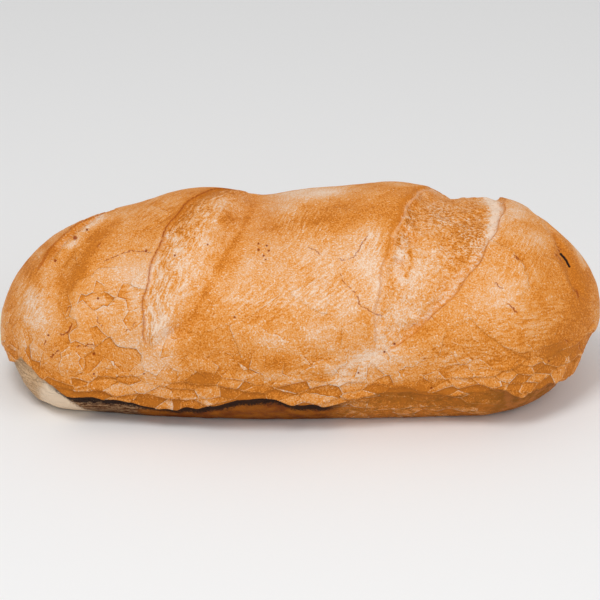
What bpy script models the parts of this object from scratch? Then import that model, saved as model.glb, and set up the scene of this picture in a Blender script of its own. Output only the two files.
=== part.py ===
"""Hearth-baked white bread loaf: one closed solid, resting on its flat base.

Frame: X along the loaf, -Y is the front, Z up. The origin is the middle of the
bounding box in plan, at the level of the base. All sizes below are in
millimetres and angles in degrees; the mesh itself is built in metres.

A point of the crust is named by its station x along the loaf and its bearing
around the section: 0 at the front, 90 at the crown, 180 at the back.
"""
import bpy
import numpy as np
from mathutils.kdtree import KDTree

MM = 0.001
SEED = 4521
NOISE_CELLS = 24
NORMAL_STEP = 0.004
TINY = 1e-9

# Overall sizes
LENGTH = 300.0
WIDTH = 135.0
HALF_LENGTH = LENGTH / 2
HALF_WIDTH = WIDTH / 2
CROWN = 93.5
BELLY = 44.0
SINK = 9.0

# End shapes as (left, right): powers of the curves that close each end
PLAN_POWERS = (2.1, 2.15)
BASE_PLAN_POWERS = (2.65, 2.3)
CROWN_POWERS = (1.95, 2.25)
UNDER_POWERS = (4.7, 3.5)
END_HEIGHTS = (29.5, 38.0)
END_BLEND = 45.0
SECTION_POWER_TOP = 2.15
SECTION_POWER_BASE = 2.9
SECTION_BLEND = 0.55

# Swells as (station, height, spread): of the crown line and of the front and back
CROWN_SWELLS = (
    (-58.0, 5.5, 26.0),
    (-20.0, -5.0, 15.0),
    (50.0, 7.0, 26.0),
    (108.5, 13.3, 25.0),
    (-118.0, 3.5, 22.0),
)
SIDE_SWELLS = (
    (108.0, 15.0, 25.0),
    (38.0, -1.8, 24.0),
    (-120.0, 9.5, 18.0),
    (-20.0, 0.8, 30.0),
)
# The underside curls up at both tips
END_LIFTS = (
    (-147.5, 22.0, 7.8),
    (146.4, 30.0, 10.7),
)

# Cuts in the crown: station and bearing of the middle, lean of the cut along
# the loaf per degree, bow of that line, reach in degrees each way, half opening
CUT_FAR_LEFT = (-110.6, 98.0, 0.64, 0.0, 28.0, 7.0)
CUT_LEFT = (-48.8, 65.0, 0.36, 0.0, 61.0, 18.2)
CUT_RIGHT = (73.2, 78.0, 0.3155, -0.0016, 78.0, 24.2)
CUT_FAR_RIGHT = (127.5, 84.0, -0.22, 0.0, 46.0, 5.0)
LENS_POWER = 0.7
CUT_FADE = 2.2
LIP_WALL = 0.8
BAND_SOFTNESS = 4.0
# Lips of the cuts waver: height, and turns of the wave per degree
LIP_WAVER = 0.7
WAVER_TURNS = 0.31
LEAST_CUT_WIDTH = 0.5

# Left cut: height of each form, and how far it spreads
LEFT_EAR = 0.5
LEFT_EAR_SPREAD = 6.0
LEFT_LIP_DROP = 1.0
LEFT_DROP_LOW = 0.4
LEFT_DROP_BEARINGS = (35.0, 85.0)
LEFT_BULGE = 1.0
LEFT_CREST = 0.43
LEFT_VALLEY = 2.8
LEFT_VALLEY_SPREAD = 9.0

# Right cut
RIGHT_EAR = 0.5
RIGHT_EAR_SPREAD = 5.0
RIGHT_LIP_DROP = 0.8
RIGHT_STEP = 4.0
RIGHT_STEP_WIDTH = 10.0
RIGHT_BULGE = 1.2
RIGHT_CREASE = 1.8
RIGHT_RISE_WIDTH = 12.0
RIGHT_SHOULDER = 1.6
RIGHT_SHOULDER_SPREAD = 16.0

# Far left cut, the groove that runs down from it, and the far right cut
FAR_LEFT_FLOOR = 3.4
FAR_LEFT_SLOPE = 5.0
FAR_LEFT_WALL = 2.4
FAR_LEFT_EAR = 0.8
FAR_LEFT_EAR_SPREAD = 3.0
FAR_LEFT_CRUST = 1.2
FAR_LEFT_CRUST_SPREAD = 9.0
GROOVE_DEPTH = 2.6
GROOVE_STATION = -118.0
GROOVE_SPREAD = 8.0
GROOVE_BEARINGS = (2.0, 30.0, 62.0, 84.0)
FAR_RIGHT_CREASE = 1.7
FAR_RIGHT_SPREAD = 2.6

# Lower edge: height of the crust lip, its overhang and the band below it
LIP_HEIGHT = 13.0
LIP_SWELLS = (
    (-132.0, 15.0, 12.0),
    (-119.0, 5.0, 7.0),
    (-104.0, 4.0, 12.0),
    (-86.0, 3.0, 8.0),
    (-20.0, 8.0, 20.0),
    (44.0, 10.0, 30.0),
    (89.0, 10.0, 16.0),
    (122.0, 6.5, 16.0),
)
LIP_RAGGED = 1.5
RAGGED_SIZES = (13.0, 5.5)
RAGGED_FINE_SHARE = 0.6
LEAST_LIP = 5.0
LIP_OVERHANG = 0.9
LIP_THICKNESS = 0.9
BAND_RECESS = 2.4
# Stretches where that band is shallow: start, full, fading and end station, share
SHALLOWS = (
    (-170.0, -160.0, -124.0, -112.0, 0.6),
    (18.0, 34.0, 88.0, 104.0, 0.75),
)

# Crust plates, lumps and blisters
PLATE_SIZE = 11.0
PLATE_STEP = 0.6
PLATE_TILT = 0.05
PLATE_HEADROOM = 8.0
PLATE_LEAST = 0.25
PLATE_HEIGHTS = (22.0, 52.0)
PLATE_LEFT_STATIONS = (-88.0, -58.0)
PLATE_LEFT_HEIGHTS = (48.0, 80.0)
LUMP_SIZE = 26.0
LUMP_HEIGHT = 0.7
BLISTER_SIZE = 5.5
BLISTER_HEIGHT = 0.9
# Raised blisters of the right band as (station, bearing, half width in
# millimetres, half height in degrees, height)
BLISTERS = (
    (50.5, 47.5, 3.2, 10.0, 1.5),
    (55.5, 77.0, 3.0, 4.0, 1.1),
    (54.0, 68.0, 2.6, 3.0, 1.1),
    (61.0, 62.0, 5.0, 6.0, 0.7),
)

# Mesh: columns between the named lines of the top patch, rows, and side rows
COLUMNS = (5, 9, 9, 16, 10, 7)
WALLS_RIGHT_OF = (2, 4)
WALLS_LEFT_OF = (1, 5)
LEAST_END_STRIP = 8.0
LEAST_BAND_HALF = 6.0
PATCH_ROWS = 38
BAND_ROWS = 4
ROW_POWER = 2.0
SIDE_ROWS = 11
PATCH_BEARING = 9.0
PATCH_END_CORNER = 0.68
PATCH_END_MIDDLE = 0.87
FRONT_ROW_PULL = 10.0
END_PULL = 0.6
END_PULL_SPREAD = 25.0
MERIDIAN_SAMPLES = 400
LIP_FADE_ROWS = 3

CRUST_COLOUR = (0.745, 0.375, 0.135, 1.0)
CRUST_ROUGHNESS = 0.62


def ramp(low, high, value):
    """Smooth rise from 0 at low to 1 at high."""
    t = np.clip((value - low) / (high - low), 0.0, 1.0)
    return t * t * (3.0 - 2.0 * t)


def left_right(x, pair):
    """Blend of a left and a right value along the loaf."""
    share = 0.5 + 0.5 * np.tanh(x / END_BLEND)
    return pair[0] * (1.0 - share) + pair[1] * share


def closing(x, powers):
    """1 along the middle of the loaf, closing to 0 at both ends."""
    power = left_right(x, powers)
    reach = np.minimum(np.abs(x) / HALF_LENGTH, 1.0)
    return (1.0 - reach ** power) ** (1.0 / power)


def swells(x, table):
    """Sum of the swells in a table of (station, height, spread)."""
    total = np.zeros_like(x)
    for station, height, spread in table:
        total += height * np.exp(-((x - station) / spread) ** 2)
    return total


def lattice_noise(points, size, seed):
    """Smooth noise in -1..1 with features of about the given size."""
    cells = NOISE_CELLS
    table = np.random.default_rng(seed).uniform(-1.0, 1.0, (cells, cells, cells))
    scaled = points / size
    corner = np.floor(scaled).astype(int)
    share = scaled - corner
    share = share * share * (3.0 - 2.0 * share)
    total = np.zeros(points.shape[:-1])
    for dx in (0, 1):
        for dy in (0, 1):
            for dz in (0, 1):
                pick = (corner + np.array((dx, dy, dz))) % cells
                weight = np.abs(1 - dx - share[..., 0])
                weight = weight * np.abs(1 - dy - share[..., 1])
                weight = weight * np.abs(1 - dz - share[..., 2])
                total += weight * table[pick[..., 0], pick[..., 1], pick[..., 2]]
    return total


def station_and_bearing(direction):
    """Station in millimetres and bearing in degrees of unit directions."""
    x = HALF_LENGTH * np.clip(direction[..., 0], -1.0, 1.0)
    bearing = np.degrees(np.arctan2(direction[..., 2], -direction[..., 1]))
    bearing = np.where(bearing < -90.0, bearing + 360.0, bearing)
    return x, bearing


def direction_of(x, bearing):
    """Unit directions of a station and bearing."""
    along = x / HALF_LENGTH
    round_share = np.sqrt(np.maximum(1.0 - along * along, 0.0))
    angle = np.radians(bearing)
    return np.stack((along, -round_share * np.cos(angle), round_share * np.sin(angle)), -1)


def bare_loaf(direction):
    """The loaf without cuts or relief; it dips below the base level in the middle."""
    x, bearing = station_and_bearing(direction)
    reach = np.minimum(np.abs(x) / HALF_LENGTH, 1.0)
    level = left_right(x, END_HEIGHTS)
    level = level + (BELLY - level) * np.sqrt(1.0 - reach * reach)
    crown = level + (CROWN + swells(x, CROWN_SWELLS) - level) * closing(x, CROWN_POWERS)
    under = level - (level + SINK - swells(x, END_LIFTS)) * closing(x, UNDER_POWERS)
    angle = np.radians(bearing)
    across = np.cos(angle)
    up = np.sin(angle)
    upper = 0.5 + 0.5 * np.tanh(up / SECTION_BLEND)
    power = SECTION_POWER_BASE + (SECTION_POWER_TOP - SECTION_POWER_BASE) * upper
    radius = (np.abs(across) ** power + np.abs(up) ** power) ** (-1.0 / power)
    plan = closing(x, BASE_PLAN_POWERS) * (1.0 - upper) + closing(x, PLAN_POWERS) * upper
    half = (HALF_WIDTH + swells(x, SIDE_SWELLS)) * plan
    rise = np.where(up > 0.0, crown - level, level - under)
    return np.stack((x, -half * radius * across, level + rise * radius * up), -1)


def outward(direction):
    """Unit normals of the bare loaf, by small differences on the sphere of directions."""
    step = NORMAL_STEP
    steep = np.abs(direction[..., 2:3]) > np.sqrt(0.5)
    helper = np.where(steep, (0.0, 1.0, 0.0), (0.0, 0.0, 1.0))
    first = np.cross(helper, direction)
    first /= np.linalg.norm(first, axis=-1, keepdims=True)
    second = np.cross(direction, first)

    def moved(offset):
        shifted = direction + offset
        return bare_loaf(shifted / np.linalg.norm(shifted, axis=-1, keepdims=True))

    along = moved(step * first) - moved(-step * first)
    across = moved(step * second) - moved(-step * second)
    normal = np.cross(along, across)
    return normal / np.maximum(np.linalg.norm(normal, axis=-1, keepdims=True), TINY)


def cut_lines(cut, bearing):
    """Left and right edge of a cut at each bearing, and its lens share 0..1."""
    station, middle, lean, bow, reach, opening = cut
    off = bearing - middle
    centre = station + lean * off + bow * off * off
    centre = centre + LIP_WAVER * np.sin(WAVER_TURNS * bearing + station)
    lens = np.maximum(1.0 - (off / reach) ** 2, 0.0) ** LENS_POWER
    return centre - opening * lens, centre + opening * lens, lens


def cut_parts(cut, x, bearing):
    """Distances into a cut from its left and right edge, share across, strength."""
    left, right, lens = cut_lines(cut, bearing)
    share = np.clip((x - left) / np.maximum(right - left, LEAST_CUT_WIDTH), 0.0, 1.0)
    return x - left, right - x, share, np.minimum(lens * CUT_FADE, 1.0)


def left_cut_relief(x, bearing):
    """Sharp left lip, a bulging band, and a soft valley on its right."""
    inside_left, inside_right, share, strength = cut_parts(CUT_LEFT, x, bearing)
    ear = LEFT_EAR * np.exp(-(inside_left / LEFT_EAR_SPREAD) ** 2)
    high = ramp(*LEFT_DROP_BEARINGS, bearing)
    drop = LEFT_LIP_DROP * (LEFT_DROP_LOW + (1.0 - LEFT_DROP_LOW) * high)
    band = -drop + (drop + LEFT_BULGE) * ramp(0.0, LEFT_CREST, share)
    band = band - (LEFT_BULGE + LEFT_VALLEY) * ramp(LEFT_CREST, 1.0, share)
    band = band * ramp(0.0, LIP_WALL, inside_left)
    valley = -LEFT_VALLEY * np.exp(-(inside_right / LEFT_VALLEY_SPREAD) ** 2)
    relief = np.where(inside_left <= 0.0, ear, np.where(inside_right < 0.0, valley, band))
    return relief * strength


def right_cut_relief(x, bearing):
    """Left crust stepping down to a wide band that ends at a sharp right crease."""
    inside_left, inside_right, share, strength = cut_parts(CUT_RIGHT, x, bearing)
    ear = RIGHT_EAR * np.exp(-(inside_left / RIGHT_EAR_SPREAD) ** 2)
    edge = RIGHT_SHOULDER - RIGHT_STEP
    band = -RIGHT_LIP_DROP * ramp(0.0, LIP_WALL, inside_left)
    band = band - (RIGHT_STEP - RIGHT_LIP_DROP) * ramp(0.0, RIGHT_STEP_WIDTH, inside_left)
    band = band + RIGHT_BULGE * np.sin(np.pi * share) ** 2
    band = band + (RIGHT_SHOULDER - RIGHT_CREASE) * ramp(RIGHT_RISE_WIDTH, 0.0, inside_right)
    band = band + RIGHT_CREASE * ramp(LIP_WALL, 0.0, inside_right)
    shoulder = edge * np.exp(-(inside_right / RIGHT_SHOULDER_SPREAD) ** 2)
    relief = np.where(inside_left <= 0.0, ear, np.where(inside_right < 0.0, shoulder, band))
    return relief * strength


def far_left_cut_relief(x, bearing):
    """Thin outer lip, a sunken floor under the right crust, a groove down the side."""
    inside_left, inside_right, _, strength = cut_parts(CUT_FAR_LEFT, x, bearing)
    ear = FAR_LEFT_EAR * np.exp(-(inside_left / FAR_LEFT_EAR_SPREAD) ** 2) * (inside_left <= 0.0)
    floor = ramp(0.0, FAR_LEFT_SLOPE, inside_left) * ramp(0.0, FAR_LEFT_WALL, inside_right)
    crust = np.exp(-(inside_right / FAR_LEFT_CRUST_SPREAD) ** 2) * (inside_right <= 0.0)
    cut = (ear - FAR_LEFT_FLOOR * floor + FAR_LEFT_CRUST * crust) * strength
    start, full, fading, end = GROOVE_BEARINGS
    down = ramp(start, full, bearing) * (1.0 - ramp(fading, end, bearing))
    return cut - GROOVE_DEPTH * np.exp(-((x - GROOVE_STATION) / GROOVE_SPREAD) ** 2) * down


def far_right_cut_relief(x, bearing):
    """A cut that hardly opened: one crease along its middle."""
    inside_left, inside_right, _, strength = cut_parts(CUT_FAR_RIGHT, x, bearing)
    off = (inside_left - inside_right) / 2.0
    return -FAR_RIGHT_CREASE * np.exp(-(off / FAR_RIGHT_SPREAD) ** 2) * strength


def cuts_relief(x, bearing):
    """Relief of all four cuts."""
    relief = left_cut_relief(x, bearing) + right_cut_relief(x, bearing)
    return relief + far_left_cut_relief(x, bearing) + far_right_cut_relief(x, bearing)


def right_band_share(x, bearing):
    """1 on the torn band of the right cut, 0 elsewhere."""
    inside_left, inside_right, _, strength = cut_parts(CUT_RIGHT, x, bearing)
    return ramp(0.0, BAND_SOFTNESS, inside_left) * ramp(0.0, BAND_SOFTNESS, inside_right) * strength


def blister_relief(x, bearing):
    """The raised blisters on the right band."""
    total = np.zeros_like(x)
    for station, middle, wide, tall, height in BLISTERS:
        off = ((x - station) / wide) ** 2 + ((bearing - middle) / tall) ** 2
        total += height * np.exp(-off)
    return total


def plate_relief(points):
    """Crust plates: each steps and tilts a little against its neighbours."""
    random = np.random.default_rng(SEED)
    low = np.array((-HALF_LENGTH, -HALF_WIDTH, 0.0))
    high = np.array((HALF_LENGTH, HALF_WIDTH, CROWN + PLATE_HEADROOM))
    count = int(np.prod((high - low) / PLATE_SIZE))
    centres = random.uniform(low, high, (count, 3))
    steps = random.uniform(-PLATE_STEP, PLATE_STEP, count)
    tilts = random.uniform(-PLATE_TILT, PLATE_TILT, (count, 3))
    tree = KDTree(count)
    for number, centre in enumerate(centres):
        tree.insert(centre, number)
    tree.balance()
    nearest = np.array([tree.find(point)[1] for point in points.reshape(-1, 3)])
    offset = points.reshape(-1, 3) - centres[nearest]
    relief = steps[nearest] + np.sum(offset * tilts[nearest], axis=1)
    return relief.reshape(points.shape[:-1])


def plate_share(points):
    """Plates show most along the lower edge and at the lower left."""
    height = points[..., 2]
    lower = 1.0 - ramp(*PLATE_HEIGHTS, height)
    left = 1.0 - ramp(*PLATE_LEFT_STATIONS, points[..., 0])
    left = left * (1.0 - ramp(*PLATE_LEFT_HEIGHTS, height))
    return PLATE_LEAST + (1.0 - PLATE_LEAST) * np.maximum(lower, left)


def skin_relief(points, x, bearing):
    """Lumps, plates and the blistered band of the right cut."""
    lumps = LUMP_HEIGHT * lattice_noise(points, LUMP_SIZE, SEED + 1)
    band = right_band_share(x, bearing)
    blisters = BLISTER_HEIGHT * lattice_noise(points, BLISTER_SIZE, SEED + 2) * band
    blisters += blister_relief(x, bearing)
    plates = plate_relief(points) * plate_share(points) * (1.0 - band)
    return lumps + blisters + plates


def lip_height(points):
    """Height of the crust lip above the base, ragged along the loaf."""
    flat = points * np.array((1.0, 1.0, 0.0))
    coarse, fine = RAGGED_SIZES
    ragged = lattice_noise(flat, coarse, SEED + 3)
    ragged = ragged + RAGGED_FINE_SHARE * lattice_noise(flat, fine, SEED + 4)
    height = LIP_HEIGHT + swells(points[..., 0], LIP_SWELLS) + LIP_RAGGED * ragged
    return np.maximum(height, LEAST_LIP)


def recess_share(x):
    """How deep the band below the lip lies: shallow at the left tip and right of the middle."""
    shallow = np.zeros_like(x)
    for start, full, fading, end, share in SHALLOWS:
        shallow += share * ramp(start, full, x) * (1.0 - ramp(fading, end, x))
    return 1.0 - shallow


def shaped(direction):
    """Finished crust points above the lip."""
    x, bearing = station_and_bearing(direction)
    bare = bare_loaf(direction)
    relief = cuts_relief(x, bearing) + skin_relief(bare, x, bearing)
    return bare + outward(direction) * relief[..., None]


def patch_lines(bearing):
    """Stations of the named lines of the top patch at one bearing, left to right."""
    low = np.sin(np.radians(PATCH_BEARING))
    lift = (np.sin(np.radians(bearing)) - low) / (1.0 - low)
    end = HALF_LENGTH * (PATCH_END_CORNER + (PATCH_END_MIDDLE - PATCH_END_CORNER) * lift)
    lines = [-end, max(cut_lines(CUT_FAR_LEFT, bearing)[1], LEAST_END_STRIP - end)]
    for cut in (CUT_LEFT, CUT_RIGHT):
        left, right, _ = cut_lines(cut, bearing)
        middle = (left + right) / 2.0
        half = max((right - left) / 2.0, LEAST_BAND_HALF)
        lines += [middle - half, middle + half]
    lines.append(end)
    return lines


def patch_stations(bearing):
    """Stations of all columns at one bearing, with a narrow wall strip at each lip."""
    lines = patch_lines(bearing)
    stations = [lines[0]]
    for number, columns in enumerate(COLUMNS):
        start, stop = lines[number], lines[number + 1]
        if number in WALLS_RIGHT_OF:
            start = start + LIP_WALL
            stations.append(start)
        last = stop - LIP_WALL if number + 1 in WALLS_LEFT_OF else stop
        stations += list(np.linspace(start, last, columns + 1)[1:])
        if number + 1 in WALLS_LEFT_OF:
            stations.append(stop)
    return np.array(stations)


def patch_directions():
    """Directions of the top patch: columns follow the edges of the cuts."""
    side = np.linspace(-1.0, 1.0, PATCH_ROWS + 1)
    bearings = 90.0 + (90.0 - PATCH_BEARING) * side
    bearings -= FRONT_ROW_PULL * (1.0 - side * side)
    return np.array([direction_of(patch_stations(bearing), bearing) for bearing in bearings])


def rim_walk(rows, columns):
    """Grid places around the rim of the patch, once round, counter-clockwise."""
    walk = [(0, column) for column in range(columns)]
    walk += [(row, columns) for row in range(rows)]
    walk += [(rows, columns - column) for column in range(columns)]
    walk += [(rows - row, 0) for row in range(rows)]
    return walk


def pulled(plan_angle):
    """Plan angles drawn towards the tips, where the loaf is blunt."""
    off = np.where(np.cos(plan_angle) < 0.0, np.pi, 0.0)
    off = plan_angle - off * np.sign(plan_angle)
    spread = np.radians(END_PULL_SPREAD)
    return plan_angle - off * END_PULL * np.exp(-(off / spread) ** 2)


def on_sphere(plan_angle, latitude):
    """Unit directions at plan angles and latitudes."""
    level = np.cos(latitude)
    return np.stack((level * np.cos(plan_angle), level * np.sin(plan_angle),
                     np.sin(latitude) + 0.0 * plan_angle), -1)


def side_rows(rim_directions):
    """Rows from the base ring up to the rim, with a ragged lip between them."""
    rim_angle = np.arctan2(rim_directions[:, 1], rim_directions[:, 0])
    rim_latitude = np.arcsin(rim_directions[:, 2])
    base_angle = pulled(rim_angle)
    samples = np.linspace(0.0, 1.0, MERIDIAN_SAMPLES)[:, None]
    latitude = -np.pi / 2 + (rim_latitude[None, :] + np.pi / 2) * samples
    probe = on_sphere(base_angle[None, :] + 0.0 * latitude, latitude)
    path = bare_loaf(probe)
    low = at_height(probe, path, np.full(len(base_angle), LIP_HEIGHT))
    lip = lip_height(bare_loaf(low))
    rows = []
    for number in range(BAND_ROWS + 1):
        undercut = LIP_THICKNESS if number == BAND_ROWS else 0.0
        rows.append(at_height(probe, path, lip * (number / BAND_ROWS) ** ROW_POWER - undercut))
    lip_latitude = np.arcsin(at_height(probe, path, lip)[:, 2])
    for number in range(SIDE_ROWS):
        share = number / SIDE_ROWS
        angle = base_angle + (rim_angle - base_angle) * share
        rows.append(on_sphere(angle, lip_latitude + (rim_latitude - lip_latitude) * share))
    return rows


def at_height(probe, path, heights):
    """Direction on each meridian where the bare loaf reaches a height."""
    picked = []
    for column in range(probe.shape[1]):
        levels = np.maximum.accumulate(path[:, column, 2])
        row = np.interp(heights[column], levels, np.arange(len(levels)))
        low = int(np.floor(row))
        high = min(low + 1, len(levels) - 1)
        blend = probe[low, column] * (1.0 - row + low) + probe[high, column] * (row - low)
        picked.append(blend / np.linalg.norm(blend))
    return np.array(picked)


def side_points(ring, number):
    """Crust points of one side row; rows below the lip are set back as the base band."""
    if number > BAND_ROWS:
        points = shaped(ring)
        x, _ = station_and_bearing(ring)
        fade = 1.0 - ramp(BAND_ROWS + 1, BAND_ROWS + 1 + LIP_FADE_ROWS, number)
        away = flat_outward(ring)
        return points + away * (LIP_OVERHANG * fade * recess_share(x))[:, None]
    points = bare_loaf(ring)
    x, _ = station_and_bearing(ring)
    away = flat_outward(ring)
    points = points - away * (BAND_RECESS * recess_share(x))[:, None]
    if number == 0:
        points[:, 2] = 0.0
    return points


def flat_outward(ring):
    """Level unit vectors pointing out of the loaf."""
    away = outward(ring) * np.array((1.0, 1.0, 0.0))
    return away / np.maximum(np.linalg.norm(away, axis=1, keepdims=True), TINY)


def loaf_mesh():
    """Vertices in millimetres and faces of the closed loaf."""
    patch = patch_directions()
    rows, columns = patch.shape[0] - 1, patch.shape[1] - 1
    points = list(shaped(patch).reshape(-1, 3))
    walk = rim_walk(rows, columns)
    rim_directions = np.array([patch[place] for place in walk])
    faces = []
    width = columns + 1
    for row in range(rows):
        for column in range(columns):
            start = row * width + column
            faces.append((start, start + 1, start + width + 1, start + width))
    rings = []
    for number, ring in enumerate(side_rows(rim_directions)):
        first = len(points)
        points += list(side_points(ring, number))
        rings.append([first + place for place in range(len(walk))])
    rings.append([row * width + column for row, column in walk])
    around = len(walk)
    for lower, upper in zip(rings[:-1], rings[1:]):
        for place in range(around):
            after = (place + 1) % around
            faces.append((lower[place], lower[after], upper[after], upper[place]))
    faces.append(tuple(reversed(rings[0])))
    points = np.array(points)
    middle = (points.min(axis=0) + points.max(axis=0)) / 2.0
    return points - middle * np.array((1.0, 1.0, 0.0)), faces


def crust_material():
    """Baked crust: golden, slightly rough."""
    material = bpy.data.materials.new("crust")
    material.use_nodes = True
    shader = material.node_tree.nodes["Principled BSDF"]
    shader.inputs["Base Color"].default_value = CRUST_COLOUR
    shader.inputs["Roughness"].default_value = CRUST_ROUGHNESS
    shader.inputs["Metallic"].default_value = 0.0
    return material


def build():
    """Make the one solid of the part."""
    for thing in list(bpy.data.objects):
        bpy.data.objects.remove(thing)
    points, faces = loaf_mesh()
    mesh = bpy.data.meshes.new("loaf")
    mesh.from_pydata([tuple(point) for point in points * MM], [], faces)
    mesh.validate()
    smooth = [len(face) == 4 for face in faces]
    mesh.polygons.foreach_set("use_smooth", smooth)
    mesh.materials.append(crust_material())
    mesh.update()
    loaf = bpy.data.objects.new("loaf", mesh)
    bpy.context.scene.collection.objects.link(loaf)


build()
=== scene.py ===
"""Hearth-baked white bread loaf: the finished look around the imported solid.

The crust is one dense mesh worked out from the same named sizes as the solid.
Lengths are in millimetres and angles in degrees until the mesh is made, which
is in metres. A point of the crust is named by its station x along the loaf and
its bearing around the section: 0 at the front, 90 at the crown, 180 at the back.
"""
import math

import bpy
import numpy as np
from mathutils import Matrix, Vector


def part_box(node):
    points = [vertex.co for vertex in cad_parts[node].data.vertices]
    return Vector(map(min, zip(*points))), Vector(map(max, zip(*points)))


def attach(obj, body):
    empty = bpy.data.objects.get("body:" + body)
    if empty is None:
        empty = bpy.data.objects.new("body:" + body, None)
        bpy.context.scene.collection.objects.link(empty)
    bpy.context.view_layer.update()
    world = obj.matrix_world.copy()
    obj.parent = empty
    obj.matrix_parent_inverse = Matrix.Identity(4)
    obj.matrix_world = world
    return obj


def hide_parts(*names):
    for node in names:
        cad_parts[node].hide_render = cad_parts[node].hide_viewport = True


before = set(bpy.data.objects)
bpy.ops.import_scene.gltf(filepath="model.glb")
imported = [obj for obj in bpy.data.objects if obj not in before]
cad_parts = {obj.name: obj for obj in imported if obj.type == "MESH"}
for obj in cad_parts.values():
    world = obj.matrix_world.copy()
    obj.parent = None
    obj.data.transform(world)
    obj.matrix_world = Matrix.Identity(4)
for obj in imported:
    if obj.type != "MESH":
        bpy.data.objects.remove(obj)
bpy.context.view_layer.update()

MM = 0.001
SEED = 4521
# Cells of the noise lattice, step for normals, least length, and the level parts of a vector
NOISE_CELLS = 24
NORMAL_STEP = 0.004
TINY = 1e-9
LEVEL_PARTS = np.array((1.0, 1.0, 0.0))

# ---- main sizes
LENGTH = 300.0
WIDTH = 135.0
HALF_LENGTH = LENGTH / 2
HALF_WIDTH = WIDTH / 2
CROWN = 93.5
BELLY = 44.0
SINK = 9.0

# End shapes as (left, right): powers of the curves that close each end
PLAN_POWERS = (2.1, 2.15)
BASE_PLAN_POWERS = (2.65, 2.3)
CROWN_POWERS = (1.95, 2.25)
UNDER_POWERS = (4.7, 3.5)
END_HEIGHTS = (29.5, 38.0)
END_BLEND = 45.0
SECTION_POWER_TOP = 2.15
SECTION_POWER_BASE = 2.9
SECTION_BLEND = 0.55

# Swells as (station, height, spread): of the crown line and of the front and back
CROWN_SWELLS = (
    (-58.0, 5.5, 26.0), (-20.0, -5.0, 15.0), (50.0, 7.0, 26.0), (108.5, 13.3, 25.0),
    (-118.0, 3.5, 22.0),
)
SIDE_SWELLS = (
    (108.0, 15.0, 25.0), (38.0, -1.8, 24.0), (-120.0, 9.5, 18.0), (-20.0, 0.8, 30.0),
)
# The underside curls up at both tips
END_LIFTS = (
    (-147.5, 22.0, 7.8),
    (146.4, 30.0, 10.7),
)

# Cuts in the crown: station and bearing of the middle, lean of the cut along
# the loaf per degree, bow of that line, reach in degrees each way, half opening
CUT_FAR_LEFT = (-110.6, 98.0, 0.64, 0.0, 28.0, 7.0)
CUT_LEFT = (-48.8, 65.0, 0.36, 0.0, 61.0, 18.2)
CUT_RIGHT = (73.2, 78.0, 0.3155, -0.0016, 78.0, 24.2)
CUT_FAR_RIGHT = (127.5, 84.0, -0.22, 0.0, 46.0, 5.0)
LENS_POWER = 0.7
CUT_FADE = 2.2
LIP_WALL = 0.8
BAND_SOFTNESS = 4.0
# Lips of the cuts waver: height, and turns of the wave per degree
LIP_WAVER = 0.7
WAVER_TURNS = 0.31
LEAST_CUT_WIDTH = 0.5

# Left cut: height of each form, and how far it spreads
LEFT_EAR = 0.5
LEFT_EAR_SPREAD = 6.0
LEFT_LIP_DROP = 1.0
LEFT_DROP_LOW = 0.4
LEFT_DROP_BEARINGS = (35.0, 85.0)
LEFT_BULGE = 1.0
LEFT_CREST = 0.43
LEFT_VALLEY = 2.8
LEFT_VALLEY_SPREAD = 9.0

# Right cut
RIGHT_EAR = 0.5
RIGHT_EAR_SPREAD = 5.0
RIGHT_LIP_DROP = 0.8
RIGHT_STEP = 4.0
RIGHT_STEP_WIDTH = 10.0
RIGHT_BULGE = 1.2
RIGHT_CREASE = 1.8
RIGHT_RISE_WIDTH = 12.0
RIGHT_SHOULDER = 1.6
RIGHT_SHOULDER_SPREAD = 16.0

# Far left cut, the groove that runs down from it, and the far right cut
FAR_LEFT_FLOOR = 3.4
FAR_LEFT_SLOPE = 5.0
FAR_LEFT_WALL = 2.4
FAR_LEFT_EAR = 0.8
FAR_LEFT_EAR_SPREAD = 3.0
FAR_LEFT_CRUST = 1.2
FAR_LEFT_CRUST_SPREAD = 9.0
GROOVE_DEPTH = 2.6
GROOVE_STATION = -118.0
GROOVE_SPREAD = 8.0
GROOVE_BEARINGS = (2.0, 30.0, 62.0, 84.0)
FAR_RIGHT_CREASE = 1.7
FAR_RIGHT_SPREAD = 2.6

# Lower edge: height of the crust lip, its overhang and the band below it
LIP_HEIGHT = 13.0
LIP_SWELLS = (
    (-132.0, 15.0, 12.0), (-119.0, 5.0, 7.0), (-104.0, 4.0, 12.0), (-86.0, 3.0, 8.0),
    (-20.0, 8.0, 20.0), (44.0, 10.0, 30.0), (89.0, 10.0, 16.0), (122.0, 6.5, 16.0),
)
LIP_RAGGED = 1.5
RAGGED_SIZES = (13.0, 5.5)
RAGGED_FINE_SHARE = 0.6
LEAST_LIP = 5.0
LIP_OVERHANG = 0.9
LIP_THICKNESS = 0.9
BAND_RECESS = 2.4
# Stretches where that band is shallow: start, full, fading and end station, share
SHALLOWS = (
    (-170.0, -160.0, -124.0, -112.0, 0.6),
    (18.0, 34.0, 88.0, 104.0, 0.75),
)

# Lumps and blisters
LUMP_SIZE = 26.0
LUMP_HEIGHT = 0.7
BLISTER_SIZE = 5.5
BLISTER_HEIGHT = 0.9
# Raised blisters of the right band as (station, bearing, half width in
# millimetres, half height in degrees, height)
BLISTERS = (
    (50.5, 47.5, 3.2, 10.0, 1.5), (55.5, 77.0, 3.0, 4.0, 1.1), (54.0, 68.0, 2.6, 3.0, 1.1),
    (61.0, 62.0, 5.0, 6.0, 0.7),
)

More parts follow.
